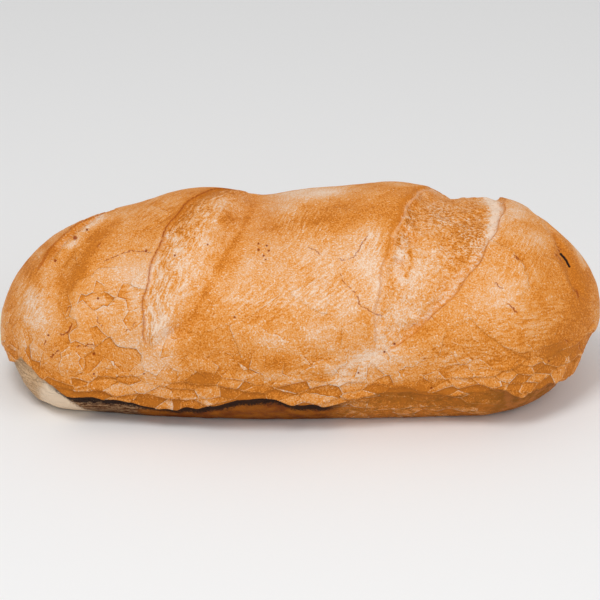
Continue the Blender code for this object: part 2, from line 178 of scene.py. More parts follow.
# Mesh: columns between the named lines of the top patch, rows, and side rows
COLUMNS = (24, 42, 42, 78, 48, 32)
WALLS_RIGHT_OF = (2, 4)
WALLS_LEFT_OF = (1, 5)
LEAST_END_STRIP = 8.0
LEAST_BAND_HALF = 6.0
PATCH_ROWS = 158
BAND_ROWS = 8
ROW_POWER = 1.5
SIDE_ROWS = 46
PATCH_BEARING = 9.0
PATCH_END_CORNER = 0.68
PATCH_END_MIDDLE = 0.87
FRONT_ROW_PULL = 10.0
END_PULL = 0.6
END_PULL_SPREAD = 25.0
MERIDIAN_SAMPLES = 400


# ---- form of the loaf
def ramp(low, high, value):
    """Smooth rise from 0 at low to 1 at high."""
    t = np.clip((value - low) / (high - low), 0.0, 1.0)
    return t * t * (3.0 - 2.0 * t)


def hill(offset, spread):
    """1 at an offset of 0, fading over a spread to both sides."""
    return np.exp(-(offset / spread) ** 2)


def unit(vectors):
    """Vectors scaled to a length of 1."""
    return vectors / np.maximum(np.linalg.norm(vectors, axis=-1, keepdims=True), TINY)


def left_right(x, pair):
    """Blend of a left and a right value along the loaf."""
    share = 0.5 + 0.5 * np.tanh(x / END_BLEND)
    return pair[0] * (1.0 - share) + pair[1] * share


def closing(x, powers):
    """1 along the middle of the loaf, closing to 0 at both ends."""
    power = left_right(x, powers)
    reach = np.minimum(np.abs(x) / HALF_LENGTH, 1.0)
    return (1.0 - reach ** power) ** (1.0 / power)


def swells(x, table):
    """Sum of the swells in a table of (station, height, spread)."""
    return sum(height * hill(x - station, spread) for station, height, spread in table)


def lattice_noise(points, size, seed):
    """Smooth noise in -1..1 with features of about the given size."""
    table = np.random.default_rng(seed).uniform(-1.0, 1.0, [NOISE_CELLS] * 3)
    scaled = points / size
    corner = np.floor(scaled).astype(int)
    share = scaled - corner
    share = share * share * (3.0 - 2.0 * share)
    total = np.zeros(points.shape[:-1])
    for step in np.ndindex(2, 2, 2):
        x, y, z = np.moveaxis((corner + step) % NOISE_CELLS, -1, 0)
        total += np.prod(np.abs(1.0 - np.array(step) - share), axis=-1) * table[x, y, z]
    return total


def station_and_bearing(direction):
    """Station in millimetres and bearing in degrees of unit directions."""
    x = HALF_LENGTH * np.clip(direction[..., 0], -1.0, 1.0)
    bearing = np.degrees(np.arctan2(direction[..., 2], -direction[..., 1]))
    bearing = np.where(bearing < -90.0, bearing + 360.0, bearing)
    return x, bearing


def direction_of(x, bearing):
    """Unit directions of a station and bearing."""
    along = x / HALF_LENGTH
    round_share = np.sqrt(np.maximum(1.0 - along * along, 0.0))
    angle = np.radians(bearing)
    return np.stack((along, -round_share * np.cos(angle), round_share * np.sin(angle)), -1)


def bare_loaf(direction):
    """The loaf without cuts or relief; it dips below the base level in the middle."""
    x, bearing = station_and_bearing(direction)
    reach = np.minimum(np.abs(x) / HALF_LENGTH, 1.0)
    level = left_right(x, END_HEIGHTS)
    level = level + (BELLY - level) * np.sqrt(1.0 - reach * reach)
    crown = level + (CROWN + swells(x, CROWN_SWELLS) - level) * closing(x, CROWN_POWERS)
    under = level - (level + SINK - swells(x, END_LIFTS)) * closing(x, UNDER_POWERS)
    angle = np.radians(bearing)
    across = np.cos(angle)
    up = np.sin(angle)
    upper = 0.5 + 0.5 * np.tanh(up / SECTION_BLEND)
    power = SECTION_POWER_BASE + (SECTION_POWER_TOP - SECTION_POWER_BASE) * upper
    radius = (np.abs(across) ** power + np.abs(up) ** power) ** (-1.0 / power)
    plan = closing(x, BASE_PLAN_POWERS) * (1.0 - upper) + closing(x, PLAN_POWERS) * upper
    half = (HALF_WIDTH + swells(x, SIDE_SWELLS)) * plan
    rise = np.where(up > 0.0, crown - level, level - under)
    return np.stack((x, -half * radius * across, level + rise * radius * up), -1)


def outward(direction):
    """Unit normals of the bare loaf, by small differences on the sphere of directions."""
    steep = np.abs(direction[..., 2:3]) > np.sqrt(0.5)
    helper = np.where(steep, (0.0, 1.0, 0.0), (0.0, 0.0, 1.0))
    first = unit(np.cross(helper, direction))
    second = np.cross(direction, first)
    along, across = (bare_loaf(unit(direction + NORMAL_STEP * way))
                     - bare_loaf(unit(direction - NORMAL_STEP * way)) for way in (first, second))
    return unit(np.cross(along, across))


def cut_lines(cut, bearing):
    """Left and right edge of a cut at each bearing, and its lens share 0..1."""
    station, middle, lean, bow, reach, opening = cut
    off = bearing - middle
    centre = station + lean * off + bow * off * off
    centre = centre + LIP_WAVER * np.sin(WAVER_TURNS * bearing + station)
    lens = np.maximum(1.0 - (off / reach) ** 2, 0.0) ** LENS_POWER
    return centre - opening * lens, centre + opening * lens, lens


def cut_parts(cut, x, bearing):
    """Distances into a cut from its left and right edge, share across, strength."""
    left, right, lens = cut_lines(cut, bearing)
    share = np.clip((x - left) / np.maximum(right - left, LEAST_CUT_WIDTH), 0.0, 1.0)
    return x - left, right - x, share, np.minimum(lens * CUT_FADE, 1.0)


def left_cut_relief(x, bearing):
    """Sharp left lip, a bulging band, and a soft valley on its right."""
    inside_left, inside_right, share, strength = cut_parts(CUT_LEFT, x, bearing)
    ear = LEFT_EAR * hill(inside_left, LEFT_EAR_SPREAD)
    high = ramp(*LEFT_DROP_BEARINGS, bearing)
    drop = LEFT_LIP_DROP * (LEFT_DROP_LOW + (1.0 - LEFT_DROP_LOW) * high)
    band = -drop + (drop + LEFT_BULGE) * ramp(0.0, LEFT_CREST, share)
    band = band - (LEFT_BULGE + LEFT_VALLEY) * ramp(LEFT_CREST, 1.0, share)
    band = band * ramp(0.0, LIP_WALL, inside_left)
    valley = -LEFT_VALLEY * hill(inside_right, LEFT_VALLEY_SPREAD)
    relief = np.where(inside_left <= 0.0, ear, np.where(inside_right < 0.0, valley, band))
    return relief * strength


def right_cut_relief(x, bearing):
    """Left crust stepping down to a wide band that ends at a sharp right crease."""
    inside_left, inside_right, share, strength = cut_parts(CUT_RIGHT, x, bearing)
    ear = RIGHT_EAR * hill(inside_left, RIGHT_EAR_SPREAD)
    edge = RIGHT_SHOULDER - RIGHT_STEP
    band = -RIGHT_LIP_DROP * ramp(0.0, LIP_WALL, inside_left)
    band = band - (RIGHT_STEP - RIGHT_LIP_DROP) * ramp(0.0, RIGHT_STEP_WIDTH, inside_left)
    band = band + RIGHT_BULGE * np.sin(np.pi * share) ** 2
    band = band + (RIGHT_SHOULDER - RIGHT_CREASE) * ramp(RIGHT_RISE_WIDTH, 0.0, inside_right)
    band = band + RIGHT_CREASE * ramp(LIP_WALL, 0.0, inside_right)
    shoulder = edge * hill(inside_right, RIGHT_SHOULDER_SPREAD)
    relief = np.where(inside_left <= 0.0, ear, np.where(inside_right < 0.0, shoulder, band))
    return relief * strength


def far_left_cut_relief(x, bearing):
    """Thin outer lip, a sunken floor under the right crust, a groove down the side."""
    inside_left, inside_right, _, strength = cut_parts(CUT_FAR_LEFT, x, bearing)
    ear = FAR_LEFT_EAR * hill(inside_left, FAR_LEFT_EAR_SPREAD) * (inside_left <= 0.0)
    floor = ramp(0.0, FAR_LEFT_SLOPE, inside_left) * ramp(0.0, FAR_LEFT_WALL, inside_right)
    crust = hill(inside_right, FAR_LEFT_CRUST_SPREAD) * (inside_right <= 0.0)
    cut = (ear - FAR_LEFT_FLOOR * floor + FAR_LEFT_CRUST * crust) * strength
    start, full, fading, end = GROOVE_BEARINGS
    down = ramp(start, full, bearing) * (1.0 - ramp(fading, end, bearing))
    return cut - GROOVE_DEPTH * hill(x - GROOVE_STATION, GROOVE_SPREAD) * down


def far_right_cut_relief(x, bearing):
    """A cut that hardly opened: one crease along its middle."""
    inside_left, inside_right, _, strength = cut_parts(CUT_FAR_RIGHT, x, bearing)
    off = (inside_left - inside_right) / 2.0
    return -FAR_RIGHT_CREASE * hill(off, FAR_RIGHT_SPREAD) * strength


def cuts_relief(x, bearing):
    """Relief of all four cuts."""
    relief = left_cut_relief(x, bearing) + right_cut_relief(x, bearing)
    return relief + far_left_cut_relief(x, bearing) + far_right_cut_relief(x, bearing)


def band_share(cut, x, bearing, soft=BAND_SOFTNESS):
    """1 on the torn band of a cut, 0 elsewhere."""
    inside_left, inside_right, _, strength = cut_parts(cut, x, bearing)
    return ramp(0.0, soft, inside_left) * ramp(0.0, soft, inside_right) * strength


def blister_relief(x, bearing):
    """The raised blisters on the right band."""
    return sum(height * hill(x - station, wide) * hill(bearing - middle, tall)
               for station, middle, wide, tall, height in BLISTERS)


def lip_height(points):
    """Height of the crust lip above the base, ragged along the loaf."""
    flat = points * LEVEL_PARTS
    coarse, fine = RAGGED_SIZES
    ragged = lattice_noise(flat, coarse, SEED + 3)
    ragged = ragged + RAGGED_FINE_SHARE * lattice_noise(flat, fine, SEED + 4)
    height = LIP_HEIGHT + swells(points[..., 0], LIP_SWELLS) + LIP_RAGGED * ragged
    return np.maximum(height, LEAST_LIP)


def recess_share(x):
    """How deep the band below the lip lies: shallow at the left tip and right of the middle."""
    return 1.0 - sum(share * ramp(start, full, x) * (1.0 - ramp(fading, end, x))
                     for start, full, fading, end, share in SHALLOWS)


# ---- places on the mesh
def patch_lines(bearing):
    """Stations of the named lines of the top patch at one bearing, left to right."""
    low = np.sin(np.radians(PATCH_BEARING))
    lift = (np.sin(np.radians(bearing)) - low) / (1.0 - low)
    end = HALF_LENGTH * (PATCH_END_CORNER + (PATCH_END_MIDDLE - PATCH_END_CORNER) * lift)
    lines = [-end, max(cut_lines(CUT_FAR_LEFT, bearing)[1], LEAST_END_STRIP - end)]
    for cut in (CUT_LEFT, CUT_RIGHT):
        left, right, _ = cut_lines(cut, bearing)
        middle = (left + right) / 2.0
        half = max((right - left) / 2.0, LEAST_BAND_HALF)
        lines += [middle - half, middle + half]
    lines.append(end)
    return lines


def patch_stations(bearing):
    """Stations of all columns at one bearing, with a narrow wall strip at each lip."""
    lines = patch_lines(bearing)
    stations = [lines[0]]
    for number, columns in enumerate(COLUMNS):
        start, stop = lines[number], lines[number + 1]
        if number in WALLS_RIGHT_OF:
            start = start + LIP_WALL
            stations.append(start)
        last = stop - LIP_WALL if number + 1 in WALLS_LEFT_OF else stop
        stations += list(np.linspace(start, last, columns + 1)[1:])
        if number + 1 in WALLS_LEFT_OF:
            stations.append(stop)
    return np.array(stations)


def patch_directions():
    """Directions of the top patch: columns follow the edges of the cuts."""
    side = np.linspace(-1.0, 1.0, PATCH_ROWS + 1)
    bearings = 90.0 + (90.0 - PATCH_BEARING) * side
    bearings -= FRONT_ROW_PULL * (1.0 - side * side)
    return np.array([direction_of(patch_stations(bearing), bearing) for bearing in bearings])


def rim_walk(rows, columns):
    """Grid places around the rim of the patch, once round, counter-clockwise."""
    walk = [(0, column) for column in range(columns)]
    walk += [(row, columns) for row in range(rows)]
    walk += [(rows, columns - column) for column in range(columns)]
    walk += [(rows - row, 0) for row in range(rows)]
    return walk


def pulled(plan_angle):
    """Plan angles drawn towards the tips, where the loaf is blunt."""
    off = np.where(np.cos(plan_angle) < 0.0, np.pi, 0.0)
    off = plan_angle - off * np.sign(plan_angle)
    return plan_angle - off * END_PULL * hill(off, np.radians(END_PULL_SPREAD))


def on_sphere(plan_angle, latitude):
    """Unit directions at plan angles and latitudes."""
    level = np.cos(latitude)
    return np.stack((level * np.cos(plan_angle), level * np.sin(plan_angle),
                     np.sin(latitude) + 0.0 * plan_angle), -1)


def at_height(probe, path, heights):
    """Direction on each meridian where the bare loaf reaches a height."""
    picked = []
    for column, height in enumerate(heights):
        levels = np.maximum.accumulate(path[:, column, 2])
        row = np.interp(height, levels, np.arange(len(levels)))
        low = int(row)
        high = min(low + 1, len(levels) - 1)
        picked.append(probe[low, column] * (1.0 - row + low) + probe[high, column] * (row - low))
    return unit(np.array(picked))


def side_rows(rim_directions):
    """Rows from the base ring up to the rim, with a ragged lip between them."""
    rim_angle = np.arctan2(rim_directions[:, 1], rim_directions[:, 0])
    rim_latitude = np.arcsin(rim_directions[:, 2])
    base_angle = pulled(rim_angle)
    samples = np.linspace(0.0, 1.0, MERIDIAN_SAMPLES)[:, None]
    latitude = -np.pi / 2 + (rim_latitude[None, :] + np.pi / 2) * samples
    probe = on_sphere(base_angle[None, :] + 0.0 * latitude, latitude)
    path = bare_loaf(probe)
    low = at_height(probe, path, np.full(len(base_angle), LIP_HEIGHT))
    lip = lip_height(bare_loaf(low))
    rows = []
    for number in range(BAND_ROWS + 1):
        undercut = LIP_THICKNESS if number == BAND_ROWS else 0.0
        rows.append(at_height(probe, path, lip * (number / BAND_ROWS) ** ROW_POWER - undercut))
    lip_latitude = np.arcsin(at_height(probe, path, lip)[:, 2])
    for number in range(SIDE_ROWS):
        share = number / SIDE_ROWS
        angle = base_angle + (rim_angle - base_angle) * share
        rows.append(on_sphere(angle, lip_latitude + (rim_latitude - lip_latitude) * share))
    return rows


def flat_outward(normal):
    """Level unit vectors pointing out of the loaf."""
    return unit(normal * LEVEL_PARTS)


def loaf_net():
    """Directions, row numbers (0 at the base ring, large on the patch) and faces."""
    patch = patch_directions()
    rows, columns = patch.shape[0] - 1, patch.shape[1] - 1
    walk = rim_walk(rows, columns)
    rim_directions = np.array([patch[place] for place in walk])
    rings = side_rows(rim_directions)
    directions = np.concatenate([patch.reshape(-1, 3)] + rings)
    top = BAND_ROWS + SIDE_ROWS + 1
    width = columns + 1
    first = width * (rows + 1)
    around = len(walk)
    numbers = np.concatenate((np.full(first, top), np.repeat(np.arange(len(rings)), around)))
    faces = [(start, start + 1, start + width + 1, start + width) for row in range(rows)
             for start in range(row * width, row * width + columns)]
    starts = [first + row * around for row in range(len(rings))]
    loops = [list(range(start, start + around)) for start in starts]
    loops.append([row * width + column for row, column in walk])
    for lower, upper in zip(loops[:-1], loops[1:]):
        faces += zip(lower, lower[1:] + lower[:1], upper[1:] + upper[:1], upper)
    faces.append(tuple(reversed(loops[0])))
    return directions, numbers, faces


# ---- node maths in Python
def operation(kind, swapped=False):
    """A Wire operator that adds one Math node."""
    def operator(self, other):
        values = (other, self) if swapped else (self, other)
        return self.bench.out("ShaderNodeMath", 0, {"operation": kind}, dict(enumerate(values)))
    return operator


class Wire:
    """A node socket that takes part in Python arithmetic."""

    def __init__(self, bench, socket):
        self.bench = bench
        self.socket = socket

    __add__, __radd__ = operation("ADD"), operation("ADD", True)
    __sub__, __rsub__ = operation("SUBTRACT"), operation("SUBTRACT", True)
    __mul__, __rmul__ = operation("MULTIPLY"), operation("MULTIPLY", True)
    __truediv__, __rtruediv__ = operation("DIVIDE"), operation("DIVIDE", True)
    least = operation("MINIMUM")
    most = operation("MAXIMUM")

    def size(self):
        """Absolute value."""
        return self.bench.out("ShaderNodeMath", 0, {"operation": "ABSOLUTE"}, {0: self})

    def rise(self, low, high):
        """Smooth step from 0 at low to 1 at high (or down, where high is less)."""
        return self.bench.out("ShaderNodeMapRange", "Result", {"interpolation_type": "SMOOTHSTEP"},
                              {"Value": self, "From Min": low, "From Max": high})


class Bench:
    """A node tree that nodes are added to."""

    def __init__(self, tree):
        self.tree = tree

    def add(self, kind, settings=None, sockets=None):
        """One node: its settings first, then the values or links of its sockets."""
        node = self.tree.nodes.new(kind)
        for name, value in (settings or {}).items():
            if name == "stops":
                set_stops(node.color_ramp, value)
            else:
                setattr(node, name, value)
        for name, value in (sockets or {}).items():
            socket = node.inputs[name]
            if isinstance(value, Wire):
                self.tree.links.new(value.socket, socket)
            else:
                socket.default_value = value
        return node

    def out(self, kind, output, settings=None, sockets=None):
        """One node's output as a wire."""
        return Wire(self, self.add(kind, settings, sockets).outputs[output])

    def vector(self, kind, *values, output=0):
        """Vector maths on positions."""
        return self.out("ShaderNodeVectorMath", output, {"operation": kind},
                        dict(enumerate(values)))

    def pattern(self, name, place):
        """One of the noise patterns, in 0..1."""
        size, detail, rough, warp, *contrast = PATTERNS[name]
        noise = self.out("ShaderNodeTexNoise", 0, {"noise_dimensions": "3D"},
                         {"Vector": place, "Scale": 1.0 / size, "Detail": detail,
                          "Roughness": rough, "Distortion": warp})
        return noise.rise(*contrast) if contrast else noise

    def parts(self, place):
        """The three parts of a vector."""
        node = self.add("ShaderNodeSeparateXYZ", None, {0: place})
        return [Wire(self, output) for output in node.outputs]

    def blend(self, share, first, second):
        """Mix of two colours by a share."""
        return self.out("ShaderNodeMix", 2, {"data_type": "RGBA"}, {0: share, 6: first, 7: second})

    def paint_over(self, colour, layers):
        """A colour under layers of (share, colour)."""
        for share, over in layers:
            colour = self.blend(share, colour, over)
        return colour


def set_stops(ramp_data, stops):
    """Fill a colour ramp with (position, colour) stops."""
    while len(ramp_data.elements) < len(stops):
        ramp_data.elements.new(1.0)
    for element, (position, colour) in zip(ramp_data.elements, stops):
        element.position = position
        element.color = colour


# Noise patterns as (size in millimetres, detail, roughness, warp), and with the two
# levels that a pattern with more contrast is stretched between
PATTERNS = {
    "grain": (0.8, 1.0, 0.7, 0.0, 0.3, 0.7),
    "speck": (0.5, 0.0, 0.5, 0.0),
    "fleck": (0.85, 0.0, 0.5, 0.0, 0.66, 0.74),
    "blotch": (2.4, 2.0, 0.6, 0.0),
    "mottle": (8.0, 3.0, 0.6, 0.0),
    "cloud": (26.0, 2.0, 0.5, 0.0),
    "broken": (6.0, 3.0, 0.6, 0.0),
    "uneven": (2.6, 3.0, 0.6, 0.0),
    "left_fibre": (1.5, 3.0, 0.65, 0.4, 0.36, 0.64),
    "right_fibre": (2.2, 3.0, 0.7, 0.6, 0.3, 0.7),
    "pits": (1.9, 2.0, 0.6, 0.0, 0.46, 0.36),
    "crumbs": (1.5, 3.0, 0.65, 0.3, 0.36, 0.62),
    "clots": (3.6, 3.0, 0.7, 0.5, 0.36, 0.62),
    "lines": (1.05, 2.0, 0.6, 0.4, 0.3, 0.7),
    "wander": (3.0, 3.0, 0.7, 0.0),
    "gaps": (1.8, 1.0, 0.5, 0.0, 0.33, 0.45),
    "soft": (9.0, 3.0, 0.6, 0.0),
    "fine": (1.2, 2.0, 0.7, 0.0),
    "layer": (1.5, 3.0, 0.65, 0.8),
    "lumps": (4.0, 3.0, 0.65, 0.0),
}

# Plates of crust as (size, stretch along each axis, shift, wander): wide sheets over
# the middle, crackle on the sides, and flat flaky strata along the lower edge
PLATES = {
    "sheet": (25.0, (0.8, 1.0, 1.0), 7.0, 2.4),
    "crackle": (7.5, (0.9, 0.9, 1.0), 31.0, 1.0),
    "strata": (6.2, (0.52, 0.56, 1.15), 57.0, 0.9),
}
PLATE_BEND = 5.0
# What is worked out for each kind of plates
PLATE_FACTS = ("border", "own", "other", "below")
# A plate's random value puts it on one of three levels, parted by these two rises
PLATE_LEVELS = ((0.26, 0.34), (0.62, 0.7))


def crust_cells(bench, place, kind):
    """Plates of crust: millimetres to the nearest border, a random value of the plate
    and of its neighbour there, and how far below the plate's middle the point lies.
    Relief and colour both read the same plates."""
    size, stretch, shift, wander = PLATES[kind]
    bend = bench.out("ShaderNodeTexNoise", 1, {"noise_dimensions": "3D"},
                     {"Vector": place, "Scale": 1.0 / PLATE_BEND, "Detail": 3.0})
    moved = bench.vector("MULTIPLY_ADD", bend, (wander, wander, wander), place)
    moved = bench.vector("MULTIPLY", moved, stretch)
    moved = bench.vector("ADD", moved, (shift, shift, shift))
    border, near, beyond = (
        bench.add("ShaderNodeTexVoronoi", {"voronoi_dimensions": "3D", "feature": feature},
                  {"Vector": moved, "Scale": 1.0 / size}).outputs
        for feature in ("DISTANCE_TO_EDGE", "F1", "F2"))
    own = bench.parts(Wire(bench, near["Color"]))[0]
    other = bench.parts(Wire(bench, beyond["Color"]))[0]
    away = bench.vector("SUBTRACT", Wire(bench, near["Position"]), moved)
    return Wire(bench, border["Distance"]) * size, own, other, bench.parts(away)[2] * (2.0 / size)


def add_object(name, data):
    """A new object in the scene."""
    thing = bpy.data.objects.new(name, data)
    bpy.context.scene.collection.objects.link(thing)
    return thing


def sample_cells(points):
    """The plates worked out at each point, by a node tree on a cloud of points."""
    tree = bpy.data.node_groups.new("sampling", "GeometryNodeTree")
    for direction in ("INPUT", "OUTPUT"):
        tree.interface.new_socket("Geometry", in_out=direction, socket_type="NodeSocketGeometry")
    bench = Bench(tree)
    place = bench.out("GeometryNodeInputPosition", 0)
    flow = bench.out("NodeGroupInput", 0)
    names = []
    for kind in PLATES:
        for name, value in zip(PLATE_FACTS, crust_cells(bench, place, kind)):
            names.append(kind + "_" + name)
            flow = bench.out("GeometryNodeStoreNamedAttribute", 0,
                             {"data_type": "FLOAT", "domain": "POINT"},
                             {"Geometry": flow, "Name": names[-1], "Value": value})
    bench.add("NodeGroupOutput", None, {0: flow})
    mesh = bpy.data.meshes.new("sampling")
    mesh.vertices.add(len(points))
    mesh.vertices.foreach_set("co", points.astype(np.float32).ravel())
    cloud = add_object("sampling", mesh)
    cloud.modifiers.new("sampling", "NODES").node_group = tree
    done = cloud.evaluated_get(bpy.context.evaluated_depsgraph_get()).data
    result = {}
    for name in names:
        values = np.zeros(len(points), np.float32)
        done.attributes[name].data.foreach_get("value", values)
        result[name] = values.astype(float)
    bpy.data.objects.remove(cloud)
    bpy.data.meshes.remove(mesh)
    bpy.data.node_groups.remove(tree)
    return result


# ---- places seen in the picture
VIEW_ELEVATION = 26.0
VIEW_DISTANCE = 1500.0
VIEW_TARGET_HEIGHT = 42.0
VIEW_SENSOR = 36.0
VIEW_LENS = 180.0
PICTURE_SIDE = 600
TO_CAMERA = np.array((0.0, -math.cos(math.radians(VIEW_ELEVATION)),
                      math.sin(math.radians(VIEW_ELEVATION))))


def picture_place(points):
    """Picture coordinates of points in millimetres, as the camera sees them."""
    upward = np.array((0.0, TO_CAMERA[2], -TO_CAMERA[1]))
    offset = points - np.array((0.0, 0.0, VIEW_TARGET_HEIGHT))
    depth = VIEW_DISTANCE + offset @ -TO_CAMERA
    scale = PICTURE_SIDE * VIEW_LENS / VIEW_SENSOR / depth
    middle = PICTURE_SIDE / 2 - 0.5
    return np.stack((middle + offset[:, 0] * scale, middle - (offset @ upward) * scale), -1)


def line_parts(points, seen):
    """Each straight part of a line through picture points: distance along it, its
    length, distance to its side (signed) and distance to it, all in pixels."""
    points = np.array(points, float)
    for start, stop in zip(points[:-1], points[1:]):
        length = np.linalg.norm(stop - start)
        span = (stop - start) / length
        along = (seen - start) @ span
        side = (seen - start) @ np.array((-span[1], span[0]))
        beyond = np.maximum(along - length, 0.0) + np.maximum(-along, 0.0)
        yield along, length, side, np.hypot(side, beyond)


def line_distance(points, seen):
    """Distance in pixels to a line through picture points."""
    return np.min([part[-1] for part in line_parts(points, seen)], axis=0)


def soft_area(seen, x, y, reach_x, reach_y, slope=0.0):
    """1 in the middle of a soft area of the picture, fading over its reach."""
    off_y = seen[:, 1] - y
    off_x = seen[:, 0] - x + slope * off_y
    return np.exp(-(off_x / reach_x) ** 2 - (off_y / reach_y) ** 2)


def seen_share(seen, areas):
    """Largest share of some soft areas of the picture."""
    return np.max([soft_area(seen, *area) for area in areas], axis=0)


# Cracks in the crust as picture points: half width in pixels, depth in millimetres
CRACKS = (
    (0.8, 0.5, ((307, 246), (312, 249), (319, 254))),
    (0.7, 0.4, ((339, 259), (348, 259), (354, 257), (361, 244), (367, 235))),
    (0.7, 0.5, ((340, 274), (343, 281), (351, 289), (358, 297), (358, 305), (370, 311), (381, 316))),
    (1.0, 0.7, ((514, 254), (516, 257), (519, 260))),
    (0.9, 0.6, ((495, 283), (498, 286), (502, 288))),
    (0.9, 0.7, ((505, 302), (511, 307), (517, 312))),
    (0.9, 0.6, ((575, 290), (577, 293), (578, 297))),
    (0.8, 0.5, ((565, 338), (568, 342))),
    (0.9, 0.6, ((579, 343), (581, 349))),
    (0.8, 0.9, ((556, 244), (559, 249), (562, 253))),
    (0.7, 0.8, ((556, 254), (561, 260))),
    (0.6, 0.5, ((102, 261), (110, 258), (124, 252), (131, 250), (144, 251), (155, 253))),
    (1.0, 0.8, ((60, 334), (65, 333), (69, 328), (71, 324))),
    (1.0, 0.9, ((50, 357), (54, 353), (58, 351))),
    (0.9, 0.7, ((76, 347), (86, 345), (92, 346))),
    (0.9, 0.7, ((43, 345), (45, 341))),
    (0.8, 0.5, ((125, 331), (131, 328), (134, 323))),
    (0.8, 0.5, ((96, 317), (97, 322), (101, 326))),
    (0.7, 0.4, ((66, 311), (68, 306))),
    (0.7, 0.4, ((97, 246), (99, 243))),
)
# How a crack is carved: share of its depth, softness of its sides, how far it fades
# past its ends and to its sides; then how strongly it is coloured, and more where deep
CRACK_CARVED = 0.35
CRACK_SOFT = 0.6
CRACK_END_FADE = (1.6, -0.4)
CRACK_SIDE_FADE = (7.0, 4.0)
CRACK_FAINT = 0.35
CRACK_DARKEN = 0.45
NO_CRACK = 30.0

# Pinholes and pores as picture points and radius in pixels
PORES = (
    (74, 237, 2.6), (145, 250, 1.6), (54, 260, 1.8), (86, 229, 1.4), (97, 298, 1.4),
    (234, 317, 1.2), (207, 244, 1.1), (174, 255, 1.2), (258, 249, 1.5), (266, 245, 1.3),
    (268, 250, 1.3), (263, 255, 1.3), (265, 259, 1.1), (258, 243, 1.2), (431, 388, 1.4),
    (358, 373, 1.2), (394, 344, 1.4), (384, 352, 1.2), (549, 361, 1.2), (93, 374, 1.2),
    (143, 374, 1.0), (47, 335, 1.2), (93, 354, 1.6),
)
PORE_DEPTH = 0.7
# A distance with no pore or slit within reach
FAR_OFF = 9.0

# The one open slit, at the right end, as picture points
SLIT = ((561.4, 253.0), (564.9, 256.4), (567.0, 259.2), (570.3, 265.6))
SLIT_DEPTH = 1.2
SLIT_SPREAD = 1.7


def crack_field(seen, front):
    """Signed offset from the nearest crack in half widths, its strength, and its depth."""
    nothing = np.zeros(len(seen))
    best = (nothing + np.inf, nothing + NO_CRACK, nothing, nothing)
    for half, deep, points in CRACKS:
        parts = list(line_parts(points, seen))
        for number, (along, length, side, distance) in enumerate(parts):
            before = -along if number == 0 else nothing
            after = along - length if number == len(parts) - 1 else nothing
            over = np.maximum(np.maximum(before, after), 0.0)
            here = ramp(*CRACK_END_FADE, over) * ramp(*CRACK_SIDE_FADE, distance)
            dark = here * min(CRACK_FAINT + CRACK_DARKEN * deep, 1.0)
            carved = CRACK_CARVED * deep * here * hill(distance, half + CRACK_SOFT)
            closer = distance < best[0]
            found = (distance, side / half, dark, carved)
            best = [np.where(closer, new, old) for new, old in zip(found, best)]
    return best[1], best[2] * front, best[3] * front


def carved_depth(seen):
    """Depths of the pores and of the slit."""
    away = [np.hypot(seen[:, 0] - x, seen[:, 1] - y) / radius for x, y, radius in PORES]
    pores = PORE_DEPTH * hill(np.minimum(np.min(away, axis=0), FAR_OFF), 1.0)
    return pores, SLIT_DEPTH * hill(line_distance(SLIT, seen), SLIT_SPREAD)


